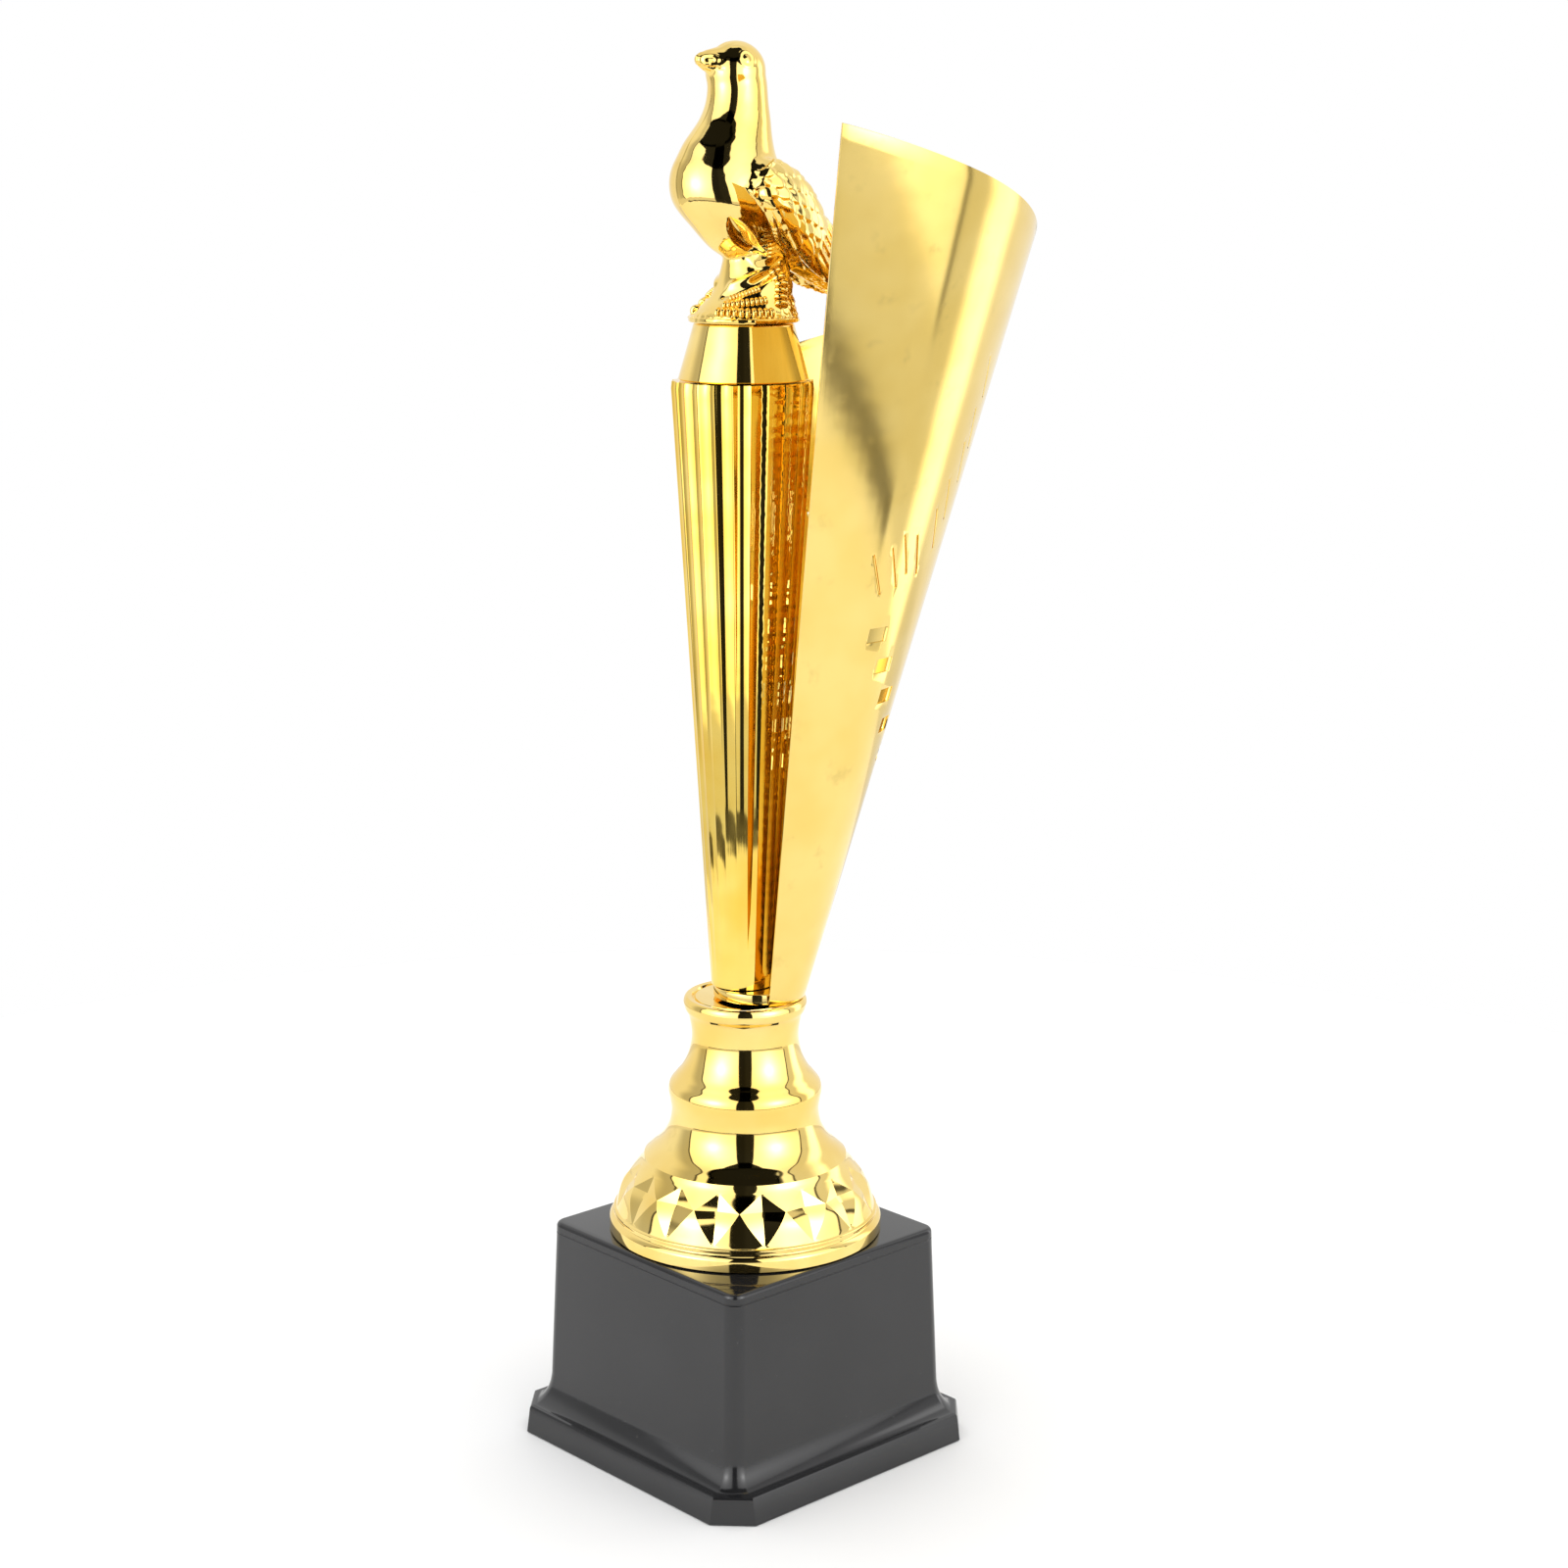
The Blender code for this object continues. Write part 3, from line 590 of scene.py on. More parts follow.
def riser_outline():
    """Fine riser outline from its top centre down to its foot centre."""
    rim = FLANGE_RADIUS
    outline = [(0.0, 0.0), (rim - 0.0002, 0.0), (rim, 0.0002)]
    stretches = []
    for start, end, stretch in zip(RISER_STATIONS, RISER_STATIONS[1:], RISER_STRETCHES):
        between = [start]
        for shares in stretch:
            between.append(tuple(low + (high - low) * share for low, high, share in zip(start, end, shares)))
        stretches.append(between)
    flange = stretches[0] + [RISER_STATIONS[1]]
    bell = stretches[1] + [RISER_STATIONS[2]]
    upper = [place for stretch in stretches[2:] for place in stretch] + [RISER_STATIONS[-1]]
    for run in (flange, bell, upper):
        outline.extend(tuple(point) for point in spline(run, 7)[:-1])
    lip_radius, lip_height = RISER_STATIONS[-1]
    edge = RISER_HEIGHT - lip_height
    for cosine, sine in quarter_turn(8):
        outline.append((lip_radius - edge * 0.6 * (1 - cosine), lip_height + edge * sine))
    groove = lip_radius - 0.0027
    outline.extend((
        (groove + 0.0004, RISER_HEIGHT - edge * 0.10),
        (groove, RISER_HEIGHT - edge * 0.55),
        (groove - edge * 0.20, RISER_HEIGHT - edge * 0.50),
        (groove - edge * 0.35, RISER_HEIGHT - edge * 0.20),
        (0.0, RISER_HEIGHT - edge * 0.20),
    ))
    return outline[::-1]


def rule_tree(name, inputs):
    """Geometry node tree with named inputs; returns the tree, its graph and terms for the inputs."""
    tree = bpy.data.node_groups.new(name, "GeometryNodeTree")
    graph = Graph(tree)
    sockets = {}
    for label, kind in inputs.items():
        sockets[label] = tree.interface.new_socket(name=label, in_out="INPUT", socket_type=kind)
    tree.interface.new_socket(name="Geometry", in_out="OUTPUT", socket_type="NodeSocketGeometry")
    entry = graph.node("NodeGroupInput")
    terms = {label: Term(graph, entry.outputs[label]) for label in inputs}
    return tree, graph, terms, sockets


def set_rule(item, tree, sockets, values):
    """Add the tree to an object as a modifier and set its inputs by identifier."""
    modifier = modified(item, "NODES", node_group=tree)
    for label, value in values.items():
        modifier[sockets[label].identifier] = value


def close_rule(graph, shape, material):
    """Realise, paint and hand out the geometry."""
    real = graph.term("GeometryNodeRealizeInstances", {}, {"Geometry": shape})
    painted = graph.term("GeometryNodeSetMaterial", {}, {"Geometry": real, "Material": material})
    graph.node("NodeGroupOutput", {}, {"Geometry": painted})


def build_riser(sizes, colours):
    """Turned riser whose band of four-sided dents is pressed in by one rule."""
    place = middle_of(RISER_LOW, RISER_HIGH)
    bell_foot, band_top = RISER_STATIONS[1:3]
    bell = band_top[1] - bell_foot[1]
    middle, top = [bell_foot[1] + bell * rise for _, rise in (DIAMOND_MIDDLE, DIAMOND_TOP)]
    riser = settled(turned("riser", riser_outline(), 16 * 24, Vector()), "riser_turning")
    inputs = {
        "Body": "NodeSocketGeometry",
        "Dents": "NodeSocketInt",
        "Dent Foot": "NodeSocketFloat",
        "Dent Middle": "NodeSocketFloat",
        "Dent Top": "NodeSocketFloat",
        "Dent Tilt": "NodeSocketFloat",
        "Finish": "NodeSocketMaterial",
    }
    tree, graph, given, sockets = rule_tree("diamond_band", inputs)
    x, y, z = graph.split(graph.term("GeometryNodeInputPosition"))
    radius = (x * x + y * y) ** 0.5
    angle = y.joined("ARCTAN2", y, x)
    cell = math.tau / given["Dents"]
    phase = angle / cell - 0.5
    offset = phase - phase.joined("ROUND", phase, 0.0)
    climb = (z - given["Dent Foot"]) / (given["Dent Middle"] - given["Dent Foot"])
    fall = (given["Dent Top"] - z) / (given["Dent Top"] - given["Dent Middle"])
    share = climb.joined("MINIMUM", climb, fall)
    share = share.joined("MAXIMUM", share, 0.0)
    rim_angle = cell * share * (DIAMOND_FILL / 2.0)
    part = offset.size() * 4.0
    inner = 1.0 - part.over(1.0)
    half_width = radius * rim_angle.sine()
    rim_depth = radius * (rim_angle + math.pi / 2).sine()
    turned_by = rim_angle + (part - 1.0) * (cell / 2.0 - rim_angle)
    across = half_width * part * inner + radius * turned_by.sine() * (1.0 - inner)
    bowl = (1.0 - (1.0 - share) ** 1.7) / (share + 0.0001)
    sunk = rim_depth - given["Dent Tilt"] * bowl * half_width * (1.0 - part)
    outward = sunk * inner + radius * (turned_by + math.pi / 2).sine() * (1.0 - inner)
    across = across * (offset.over(0.0) * 2.0 - 1.0)
    crease = angle - offset * cell
    cosine = (crease + math.pi / 2).sine()
    band = share.over(0.0001)
    new_x = x + band * (outward * cosine - across * crease.sine() - x)
    new_y = y + band * (outward * crease.sine() + across * cosine - y)
    moved = graph.term("ShaderNodeCombineXYZ", {}, {0: new_x, 1: new_y, 2: z})
    shaped = graph.term("GeometryNodeSetPosition", {}, {"Geometry": given["Body"], "Position": moved})
    close_rule(graph, shaped, given["Finish"])
    gold = gold_finish("riser_gold", colours.gold_light, colours.gold_deep, sizes.mirror, 0.45, 0.10)
    set_rule(riser, tree, sockets, {
        "Dents": 16,
        "Dent Foot": bell_foot[1],
        "Dent Middle": middle,
        "Dent Top": top,
        "Dent Tilt": DIAMOND_TILT,
        "Finish": gold,
    })
    made = settled(riser, "turned_riser")
    made.data.transform(Matrix.Translation(place))
    smooth_shaded(made, 12)
    placed(made, gold, "riser_gold", "riser")


def disc_outline(radius, height, edge):
    """Outline of a plain disc with a rounded upper edge, from top centre to foot centre."""
    outline = [(0.0, height)]
    for cosine, sine in quarter_turn(6):
        outline.append((radius - edge * (1 - sine), height - edge * (1 - cosine)))
    outline.extend(((radius, 0.0002), (radius - 0.0002, 0.0), (0.0, 0.0)))
    return outline


def build_collar(sizes, colours):
    """Plain collar disc between riser and column."""
    radius = (COLLAR_HIGH.x - COLLAR_LOW.x) / 2
    outline = disc_outline(radius, COLLAR_HIGH.z - COLLAR_LOW.z, 0.0005)
    collar = settled(turned("collar", outline, 128, middle_of(COLLAR_LOW, COLLAR_HIGH)), "collar_disc")
    smooth_shaded(collar, 30)
    gold = gold_finish("collar_gold", colours.gold_light, colours.gold_deep, sizes.mirror * 1.3, 0.7, 0.10)
    placed(collar, gold, "collar_gold", "collar")


def build_cap(sizes, colours):
    """Smooth cone between the column's rim and the pigeon's disc."""
    foot = (CAP_HIGH.x - CAP_LOW.x) / 2
    height = CAP_HIGH.z - CAP_LOW.z
    edge = 0.0007
    outline = [(0.0, height)]
    for cosine, sine in quarter_turn(5):
        outline.append((CAP_TOP_RADIUS - edge * (1 - sine), height - edge * (1 - cosine)))
    outline.extend(((foot, edge), (foot + 0.0001, edge * 0.5), (foot - 0.0002, 0.0), (0.0, 0.0)))
    cap = settled(turned("cap", outline, 160, middle_of(CAP_LOW, CAP_HIGH)), "cone_cap")
    smooth_shaded(cap, 30)
    gold = gold_finish("cap_gold", colours.gold_light, colours.gold_deep, sizes.mirror, 0.4, 0.08)
    placed(cap, gold, "cap_gold", "column_cap")


def build_column(sizes, colours):
    """Tapered column drawn by one rule: radius and flute depth grow from foot to top."""
    inputs = {
        "Flutes": "NodeSocketInt",
        "Height": "NodeSocketFloat",
        "Foot Radius": "NodeSocketFloat",
        "Top Radius": "NodeSocketFloat",
        "Flute Depth": "NodeSocketFloat",
        "Turn": "NodeSocketFloat",
        "Finish": "NodeSocketMaterial",
    }
    tree, graph, given, sockets = rule_tree("fluted_column_rule", inputs)
    around = given["Flutes"] * 16
    body = graph.term(
        "GeometryNodeMeshCylinder",
        {"fill_type": "NGON"},
        {"Vertices": around, "Side Segments": 90, "Radius": 1.0, "Depth": 1.0},
    )
    x, y, z = graph.split(graph.term("GeometryNodeInputPosition"))
    share = z + 0.5
    angle = y.joined("ARCTAN2", y, x)
    phase = (angle - given["Turn"]) * given["Flutes"] / 2.0
    hollow = phase.sine().size() ** 0.75
    radius = given["Foot Radius"] + (given["Top Radius"] - given["Foot Radius"]) * share
    depth = given["Flute Depth"] * (share * 0.85 + 0.15) * share.ramp(0.004, 0.05)
    rounded = (1.0 - share).ramp(0.0, 0.004) * 0.0003 - 0.0003
    reach = radius - depth * hollow + rounded
    moved = graph.term("ShaderNodeCombineXYZ", {}, {0: x * reach, 1: y * reach, 2: share * given["Height"]})
    shaped = graph.term("GeometryNodeSetPosition", {}, {"Geometry": body, "Position": moved})
    close_rule(graph, shaped, given["Finish"])
    gold = gold_finish("column_gold", colours.column_light, colours.column_deep, sizes.mirror, 0.35, 0.08, 1.0)
    column = blank_object("column_rule")
    set_rule(column, tree, sockets, {
        "Flutes": sizes.flutes,
        "Height": COLUMN_HIGH.z - COLUMN_LOW.z,
        "Foot Radius": COLUMN_FOOT_RADIUS,
        "Top Radius": COLUMN_TOP_RADIUS,
        "Flute Depth": sizes.flute_depth,
        "Turn": VIEW_SIDE + FLUTE_TURN,
        "Finish": gold,
    })
    column.location = middle_of(COLUMN_LOW, COLUMN_HIGH)
    made = settled(column, "shaft_with_flutes")
    smooth_shaded(made, 24)
    placed(made, gold, "column_gold", "fluted_column")


def sweep(bm, stations, sides, lean=0.0):
    """Skin ovals square to a path: (forward, height, left, half width, half thickness) in shares."""
    places = [Vector((left, -forward, height)) for forward, height, left, _, _ in stations]
    rings = []
    for i, station in enumerate(stations):
        ahead = places[min(i + 1, len(places) - 1)] - places[max(i - 1, 0)]
        upward = ahead.cross(Vector((1.0, 0.0, 0.0))).normalized()
        across = upward.cross(ahead).normalized()
        ring = []
        for j in range(sides):
            angle = math.tau * j / sides
            c = station[3] * math.cos(angle)
            s = station[4] * math.sin(angle)
            aside = c * math.cos(lean) - s * math.sin(lean)
            above = c * math.sin(lean) + s * math.cos(lean)
            ring.append((places[i] + across * aside + upward * above) * PIGEON_HEIGHT)
        rings.append(ring)
    add_loft(bm, rings)


def level_sweep(bm, levels, sides):
    """Skin level ovals: (height, front, back, half width) per level, in shares."""
    rings = []
    for height, front, back, half_width in levels:
        middle = (front + back) / 2
        reach = (front - back) / 2
        ring = []
        for j in range(sides):
            angle = math.tau * j / sides
            place = Vector((half_width * math.cos(angle), -middle - reach * math.sin(angle), height))
            ring.append(place * PIGEON_HEIGHT)
        rings.append(ring)
    add_loft(bm, rings)


def add_ball(bm, forward, height, left, radius, stretch=(1.0, 1.0, 1.0), tilt=0.0):
    """Add an oval ball; the stretch runs left, forward and up before the tilt."""
    place = Vector((left, -forward, height)) * PIGEON_HEIGHT
    matrix = Matrix.Translation(place) @ Matrix.Rotation(tilt, 4, "X") @ Matrix.Diagonal((*stretch, 1.0))
    bmesh.ops.create_icosphere(bm, subdivisions=4, radius=radius * PIGEON_HEIGHT, matrix=matrix)


def shank_stations(side):
    """Path of one shank."""
    return [(forward, height, side * left, w, t) for forward, height, left, w, t in SHANK_PATH]


def toe_stations(side, spread):
    """Path of one toe."""
    return [(forward, height, side * (LEG_OUT + spread * out), w, t) for forward, height, out, w, t in TOE_PATH]


def pigeon_form():
    """The pigeon's masses as overlapping closed bodies, smooth between their stations."""
    bm = bmesh.new()
    level_sweep(bm, spline(ROCK_LEVELS, 4), 72)
    level_sweep(bm, spline(BODY_LEVELS, 5), 84)
    add_ball(bm, 0.036, 0.899, 0.0, 0.110, (0.95, 1.04, 1.0))
    sweep(bm, spline(BEAK_PATH, 5), 36)
    sweep(bm, spline(TAIL_PATH, 6), 36)
    for side in (1, -1):
        wing = [(forward, height, side * left, thick, high) for forward, height, left, high, thick in WING_PATH]
        sweep(bm, spline(wing, 6), 40, -side * WING_LEAN)
        add_ball(bm, -0.055, 0.262, side * 0.088, 0.074, (0.82, 1.15, 1.30), math.radians(-25))
        sweep(bm, spline(shank_stations(side), 5), 20)
        for spread in TOE_SPREADS:
            sweep(bm, spline(toe_stations(side, spread), 4), 20)
    return bm


def steps_between(value, low, high):
    """Smooth 0 to 1 between two levels, for arrays."""
    share = np.clip((value - low) / (high - low), 0.0, 1.0)
    return share * share * (3 - 2 * share)


def swell(value, middle, width):
    """Bell curve of height 1, for arrays."""
    return np.exp(-((value - middle) / width) ** 2)


def bird_axes(places, unit):
    """Forward, height and left of the bird's points in a unit."""
    return -places[:, 1] / unit, places[:, 2] / unit, places[:, 0] / unit


def scale_rows(along, across, pitch, width):
    """Height from 0 to 1 of overlapping rounded scales whose free rims point along."""
    best = np.zeros_like(along)
    row_near = np.floor(along / pitch)
    for offset in (-1, 0, 1, 2):
        row = row_near + offset
        shifted = across / width + 0.5 * np.mod(row, 2)
        within = shifted - np.floor(shifted) - 0.5
        rim = row * pitch + pitch * 0.60 * (1 - 4 * within ** 2)
        behind = rim - along
        inside = (behind >= 0) & (behind < pitch * 1.5)
        climb = np.clip(1 - behind / (pitch * 1.5), 0, 1)
        edge = np.sqrt(np.clip(behind / (pitch * 0.35), 0, 1))
        height = (0.12 + 0.88 * climb) * edge * np.sqrt(np.clip(1 - 3.2 * within ** 2, 0, 1))
        best = np.where(inside & (height > best), height, best)
    return best


def wing_places(forward, height):
    """Distance along the wing from its shoulder, offset across it and half height there, in mm."""
    scale = PIGEON_HEIGHT / MM
    start = np.array(WING_ROOT) * scale
    ahead = np.array(WING_RUN) / np.linalg.norm(WING_RUN)
    upward = np.array((ahead[1], -ahead[0]))
    places = np.stack((forward, height), -1) * scale - start
    along = places @ ahead
    across = places @ upward
    path = np.array([(f, h) for f, h, _, _, _ in WING_PATH]) * scale - start
    halves = np.array([high for _, _, _, high, _ in WING_PATH]) * scale
    path_along = path @ ahead
    order = np.argsort(path_along)
    middle = np.interp(along, path_along[order], (path @ upward)[order])
    half = np.interp(along, path_along[order], halves[order])
    return along, across - middle, half


def feather_relief(places, normals):
    """Raised feathers on wings, back and tail, in mm."""
    forward, height, left = bird_axes(places, PIGEON_HEIGHT)
    left_mm = left * PIGEON_HEIGHT / MM
    along, across, half = wing_places(forward, height)
    outward = normals[:, 0] * np.sign(left)
    side = steps_between(outward, 0.05, 0.35) * steps_between(np.abs(left), 0.05, 0.10)
    on_wing = side * steps_between(1.12 - np.abs(across) / half, 0.0, 0.12) * steps_between(along, -3.2, -1.6)
    covert = scale_rows(along + 0.035 * across ** 2, across, 3.2, 3.4)
    low_covert = scale_rows(along + 1.2, across + 0.8, 4.6, 4.4)
    low_part = steps_between(-across / half, 0.30, 0.50) * steps_between(along, 5.0, 8.0)
    covert = covert * (1 - low_part) + 1.25 * low_covert * low_part
    roll = swell(along, -0.6, 0.9)
    long_part = steps_between(along, 24.0, 26.5)
    stripe = np.mod((across + 0.10 * along) / 2.3, 1.0)
    quill = (1 - stripe) * steps_between(stripe, 0.0, 0.12)
    wing = (0.80 * covert + 0.55 * roll) * (1 - long_part) + 0.55 * quill * long_part
    upper = steps_between(normals[:, 2] * 0.75 + normals[:, 1] * 0.66, 0.55, 0.85)
    on_back = upper * steps_between(-forward, 0.075, 0.115) * steps_between(0.60 - height, 0.0, 0.04)
    back_scale = scale_rows(along, left_mm, 3.3, 3.5)
    fan = left_mm / 2.6 / (0.75 + 0.5 * np.abs(forward))
    tail_quill = 1 - np.abs(2 * np.mod(fan, 1.0) - 1)
    far = steps_between(-forward, 0.36, 0.40)
    back = 0.50 * back_scale * (1 - far) + 0.40 * tail_quill * far
    under = steps_between(-normals[:, 2], 0.3, 0.6) * steps_between(-forward, 0.30, 0.36)
    return np.maximum(wing * on_wing, back * on_back) + 0.30 * tail_quill * under


def face_relief(places):
    """Eye rings, the oval swellings over the beak and the line of its mouth, in mm."""
    forward, height, left = bird_axes(places, MM)
    left = np.abs(left)
    out = np.hypot(forward - EYE[0], height - EYE[1])
    ball = np.sqrt(np.clip(1 - (out / 0.9) ** 2, 0, 1))
    eye = (0.17 * swell(out, 1.95, 0.40) + 0.20 * ball) * steps_between(left, 3.6, 4.8)
    oval = np.hypot((forward - CERE[0]) / 2.6, (height - CERE[1]) / 1.35)
    beside = steps_between(left, 0.5, 1.2) * steps_between(forward, 6.5, 7.6)
    cere = (0.20 * swell(oval, 1.0, 0.22) - 0.14 * swell(oval, 0.52, 0.18)) * beside
    slit = swell(height - 0.16 * (forward - 10.0), 64.1, 0.26)
    mouth = -0.30 * slit * steps_between(forward, 8.6, 9.6) * steps_between(left, 0.1, 0.6)
    brow = 0.25 * swell(height, 69.2, 0.7) * swell(forward, 4.5, 2.4) * steps_between(left, 2.5, 3.5)
    return eye + cere + mouth + brow


def body_relief(places, normals):
    """Seam down the breast, hollow thigh leaf with its comb, and the ridge over the foot, in mm."""
    forward, height, left = bird_axes(places, MM)
    front = steps_between(-normals[:, 1], 0.2, 0.5) * steps_between(height, 16.0, 20.0)
    seam = 0.14 * swell(left, 0.0, 0.24) * front
    side = steps_between(np.abs(left), 3.4, 4.6) * steps_between(29.0 - height, 0.0, 1.0)
    ahead, above = forward - LEAF_TIP[0], height - LEAF_TIP[1]
    tip_run = -ahead * LEAF_RUN[0] - above * LEAF_RUN[1]
    beside = ahead * LEAF_RUN[1] - above * LEAF_RUN[0]
    share = np.clip(tip_run / LEAF_LENGTH, 0.0, 1.0)
    width = 1.75 * np.sin(math.pi * share ** 0.8) ** 0.8 + 0.05
    reach = np.abs(beside - 0.6 * np.sin(math.pi * share)) / width
    inside = (tip_run > 0) & (tip_run < LEAF_LENGTH)
    leaf = np.where(inside, -0.80 * np.clip(1 - reach ** 2, 0, 1) + 0.16 * swell(reach, 1.15, 0.20), 0.0)
    comb_place = swell(forward, -1.2, 1.7) * steps_between(height, 15.5, 17.0)
    comb_place = comb_place * steps_between(25.0 - height, 0.0, 2.0)
    comb = 0.32 * np.abs(np.sin(math.pi * (height + 0.25 * forward) / 1.05)) * comb_place
    ahead, above = forward - RIDGE_TOP[0], height - RIDGE_TOP[1]
    ridge_run = ahead * RIDGE_RUN[0] - above * RIDGE_RUN[1]
    over = ahead * RIDGE_RUN[1] + above * RIDGE_RUN[0]
    on_rock = steps_between(np.abs(left), 2.0, 3.5) * steps_between(ridge_run, -1.0, 1.0)
    on_rock = on_rock * steps_between(18.0 - ridge_run, 0.0, 3.0)
    ridge = 0.65 * swell(over, 0.0, 0.65) - 0.40 * swell(over, -1.7, 0.85)
    return seam + (leaf + comb) * side + ridge * on_rock


def rock_roughness(places):
    """Where the rock is chipped: its low rim and its far side, from 0 to 1."""
    forward, height, _ = bird_axes(places, MM)
    rim = steps_between(3.4 - height, 0.0, 1.8)
    far = 0.8 * steps_between(12.5 - height, 0.0, 3.0) * steps_between(-forward, 1.5, 4.5)
    return np.maximum(rim, far)


def carve(mesh):
    """Move the fused form's points out by its relief."""
    count = len(mesh.vertices)
    places = np.zeros(count * 3)
    normals = np.zeros(count * 3)
    mesh.vertices.foreach_get("co", places)
    mesh.vertices.foreach_get("normal", normals)
    places = places.reshape(-1, 3)
    normals = normals.reshape(-1, 3)
    lift = feather_relief(places, normals) + face_relief(places) + body_relief(places, normals)
    rock = rock_roughness(places)
    for i in np.flatnonzero(rock > 0.02):
        place = Vector(places[i])
        chip = noise.noise(place * 520) * 0.9 + noise.noise(place * 1300) * 0.5
        lift[i] += rock[i] * 0.42 * chip
    places = places + normals * (lift * MM)[:, None]
    mesh.vertices.foreach_set("co", places.reshape(-1))
    mesh.update()


def build_pigeon(sizes, colours):
    """Pigeon, rock and disc as one casting with feathers, eyes, folds and a chipped rock."""
    form = blank_object("pigeon_form", pigeon_form())
    modified(form, "REMESH", mode="VOXEL", voxel_size=sizes.pigeon_grain)
    modified(form, "SMOOTH", factor=0.5, iterations=6)
    modified(form, "SUBSURF", levels=1, render_levels=1)
    bird = settled(form, "pigeon_casting")
    carve(bird.data)
    bm = bmesh.new()
    bm.from_mesh(bird.data)
    whole = [*bm.verts, *bm.edges, *bm.faces]
    foot = (0.0, 0.0, DISC_HEIGHT * 0.6)
    bmesh.ops.bisect_plane(bm, geom=whole, plane_co=foot, plane_no=(0.0, 0.0, 1.0), clear_inner=True)
    bmesh.ops.holes_fill(bm, edges=[edge for edge in bm.edges if edge.is_boundary])
    bmesh.ops.recalc_face_normals(bm, faces=bm.faces)
    bm.to_mesh(bird.data)
    bm.free()
    place = Matrix.Translation((0.0, 0.0, PIGEON_LOW.z)) @ Matrix.Rotation(PIGEON_TURN, 4, "Z")
    bird.data.transform(place)
    smooth_shaded(bird, 50)
    gold = gold_finish("pigeon_gold", colours.gold_light, colours.gold_deep, sizes.mirror, 0.5, 0.06)
    placed(bird, gold, "pigeon_gold", "pigeon")
    build_disc(gold)
    build_leg_rings(gold, place)


def build_disc(gold):
    """Thin disc under the rock with a rough cast edge."""
    place = middle_of(CAP_LOW, CAP_HIGH)
    place.z = PIGEON_LOW.z
    outline = disc_outline(DISC_RADIUS, DISC_HEIGHT, 0.0004)
    disc = settled(turned("disc", outline, 220, place), "pigeon_disc")
    for vertex in disc.data.vertices:
        out = (vertex.co - place).to_2d()
        if out.length > DISC_RADIUS * 0.9:
            rough = noise.noise(vertex.co * 650) * 0.00018 - 0.00012
            vertex.co.x += out.normalized().x * rough
            vertex.co.y += out.normalized().y * rough
    smooth_shaded(disc, 50)
    placed(disc, gold, "pigeon_gold")


def rock_point(degrees, height, side):
    """Point on the rock's flank, by angle round from its front and height as a share."""
    levels = np.array(ROCK_LEVELS)
    front, back, half_width = [np.interp(height, levels[:, 0], levels[:, i]) for i in (1, 2, 3)]
    angle = math.radians(degrees)
    forward = (front + back) / 2 + (front - back) / 2 * math.cos(angle)
    return Vector((side * half_width * math.sin(angle) * 0.96, -forward * 0.96, height)) * PIGEON_HEIGHT


def build_leg_rings(gold, place):
    """Ribs round the shanks and toes: one ring set along each path by a rule."""
    inputs = {
        "Path": "NodeSocketObject",
        "Ring Radius": "NodeSocketFloat",
        "Ring Step": "NodeSocketFloat",
        "Finish": "NodeSocketMaterial",
    }
    tree, graph, given, sockets = rule_tree("leg_ring_rule", inputs)
    path = graph.term("GeometryNodeObjectInfo", {}, {"Object": given["Path"]}, output="Geometry")
    curve = graph.term("GeometryNodeMeshToCurve", {}, {"Mesh": path})
    spacing = {"Curve": curve, "Length": given["Ring Step"]}
    steps = graph.term("GeometryNodeResampleCurve", {"mode": "LENGTH"}, spacing)
    tangent = graph.term("GeometryNodeInputTangent")
    circle = "GeometryNodeCurvePrimitiveCircle"
    ring = graph.term(circle, {}, {"Resolution": 14, "Radius": given["Ring Radius"]})
    bead = graph.term(circle, {}, {"Resolution": 8, "Radius": given["Ring Step"] * 0.46})
    torus = graph.term("GeometryNodeCurveToMesh", {}, {"Curve": ring, "Profile Curve": bead})
    turn = graph.term("FunctionNodeAlignRotationToVector", {"axis": "Z"}, {"Vector": tangent})
    placing = {"Points": steps, "Instance": torus, "Rotation": turn}
    copies = graph.term("GeometryNodeInstanceOnPoints", {}, placing)
    close_rule(graph, copies, given["Finish"])
    found = []
    for number, (first, last, radius, step) in enumerate(RIB_RUNS):
        for side in (1, -1):
            bm = bmesh.new()
            points = []
            for i in range(25):
                degrees, height = [start + (end - start) * i / 24 for start, end in zip(first, last)]
                if side < 0:
                    degrees += 8.0 * i / 24
                points.append(bm.verts.new(rock_point(degrees, height, side)))
            for start, end in zip(points, points[1:]):
                bm.edges.new((start, end))
            path_object = blank_object(f"ring_path_{number}", bm)
            rings = blank_object(f"rings_{number}")
            values = {"Path": path_object, "Ring Radius": radius, "Ring Step": step, "Finish": gold}
            set_rule(rings, tree, sockets, values)
            found.append(settled(rings, f"leg_rings_{number}"))
            bpy.data.objects.remove(path_object, do_unlink=True)
    bm = bmesh.new()
    for item in found:
        bm.from_mesh(item.data)
        bpy.data.objects.remove(item, do_unlink=True)
    bmesh.ops.transform(bm, matrix=place, verts=bm.verts)
    bmesh.ops.recalc_face_normals(bm, faces=bm.faces)
    made = blank_object("ribbed_legs", bm)
    smooth_shaded(made, 60)
    placed(made, gold, "pigeon_gold")


def cup_radius(height):
    """Outside radius of the cup at a height above its foot."""
    foot = (COLLAR_HIGH.x - COLLAR_LOW.x) / 2 + 0.0012
    return foot + CUP_SLOPE * height


def cup_rim(angle):
    """Height of the rim above the cup's foot, falling round from the near edge."""
    turn = angle - CUP_NEAR_EDGE
    return CUP_NEAR_HEIGHT - CUP_RIM_FALL * turn - CUP_RIM_SAG * turn ** 2 + CUP_RIM_EASE * turn ** 3


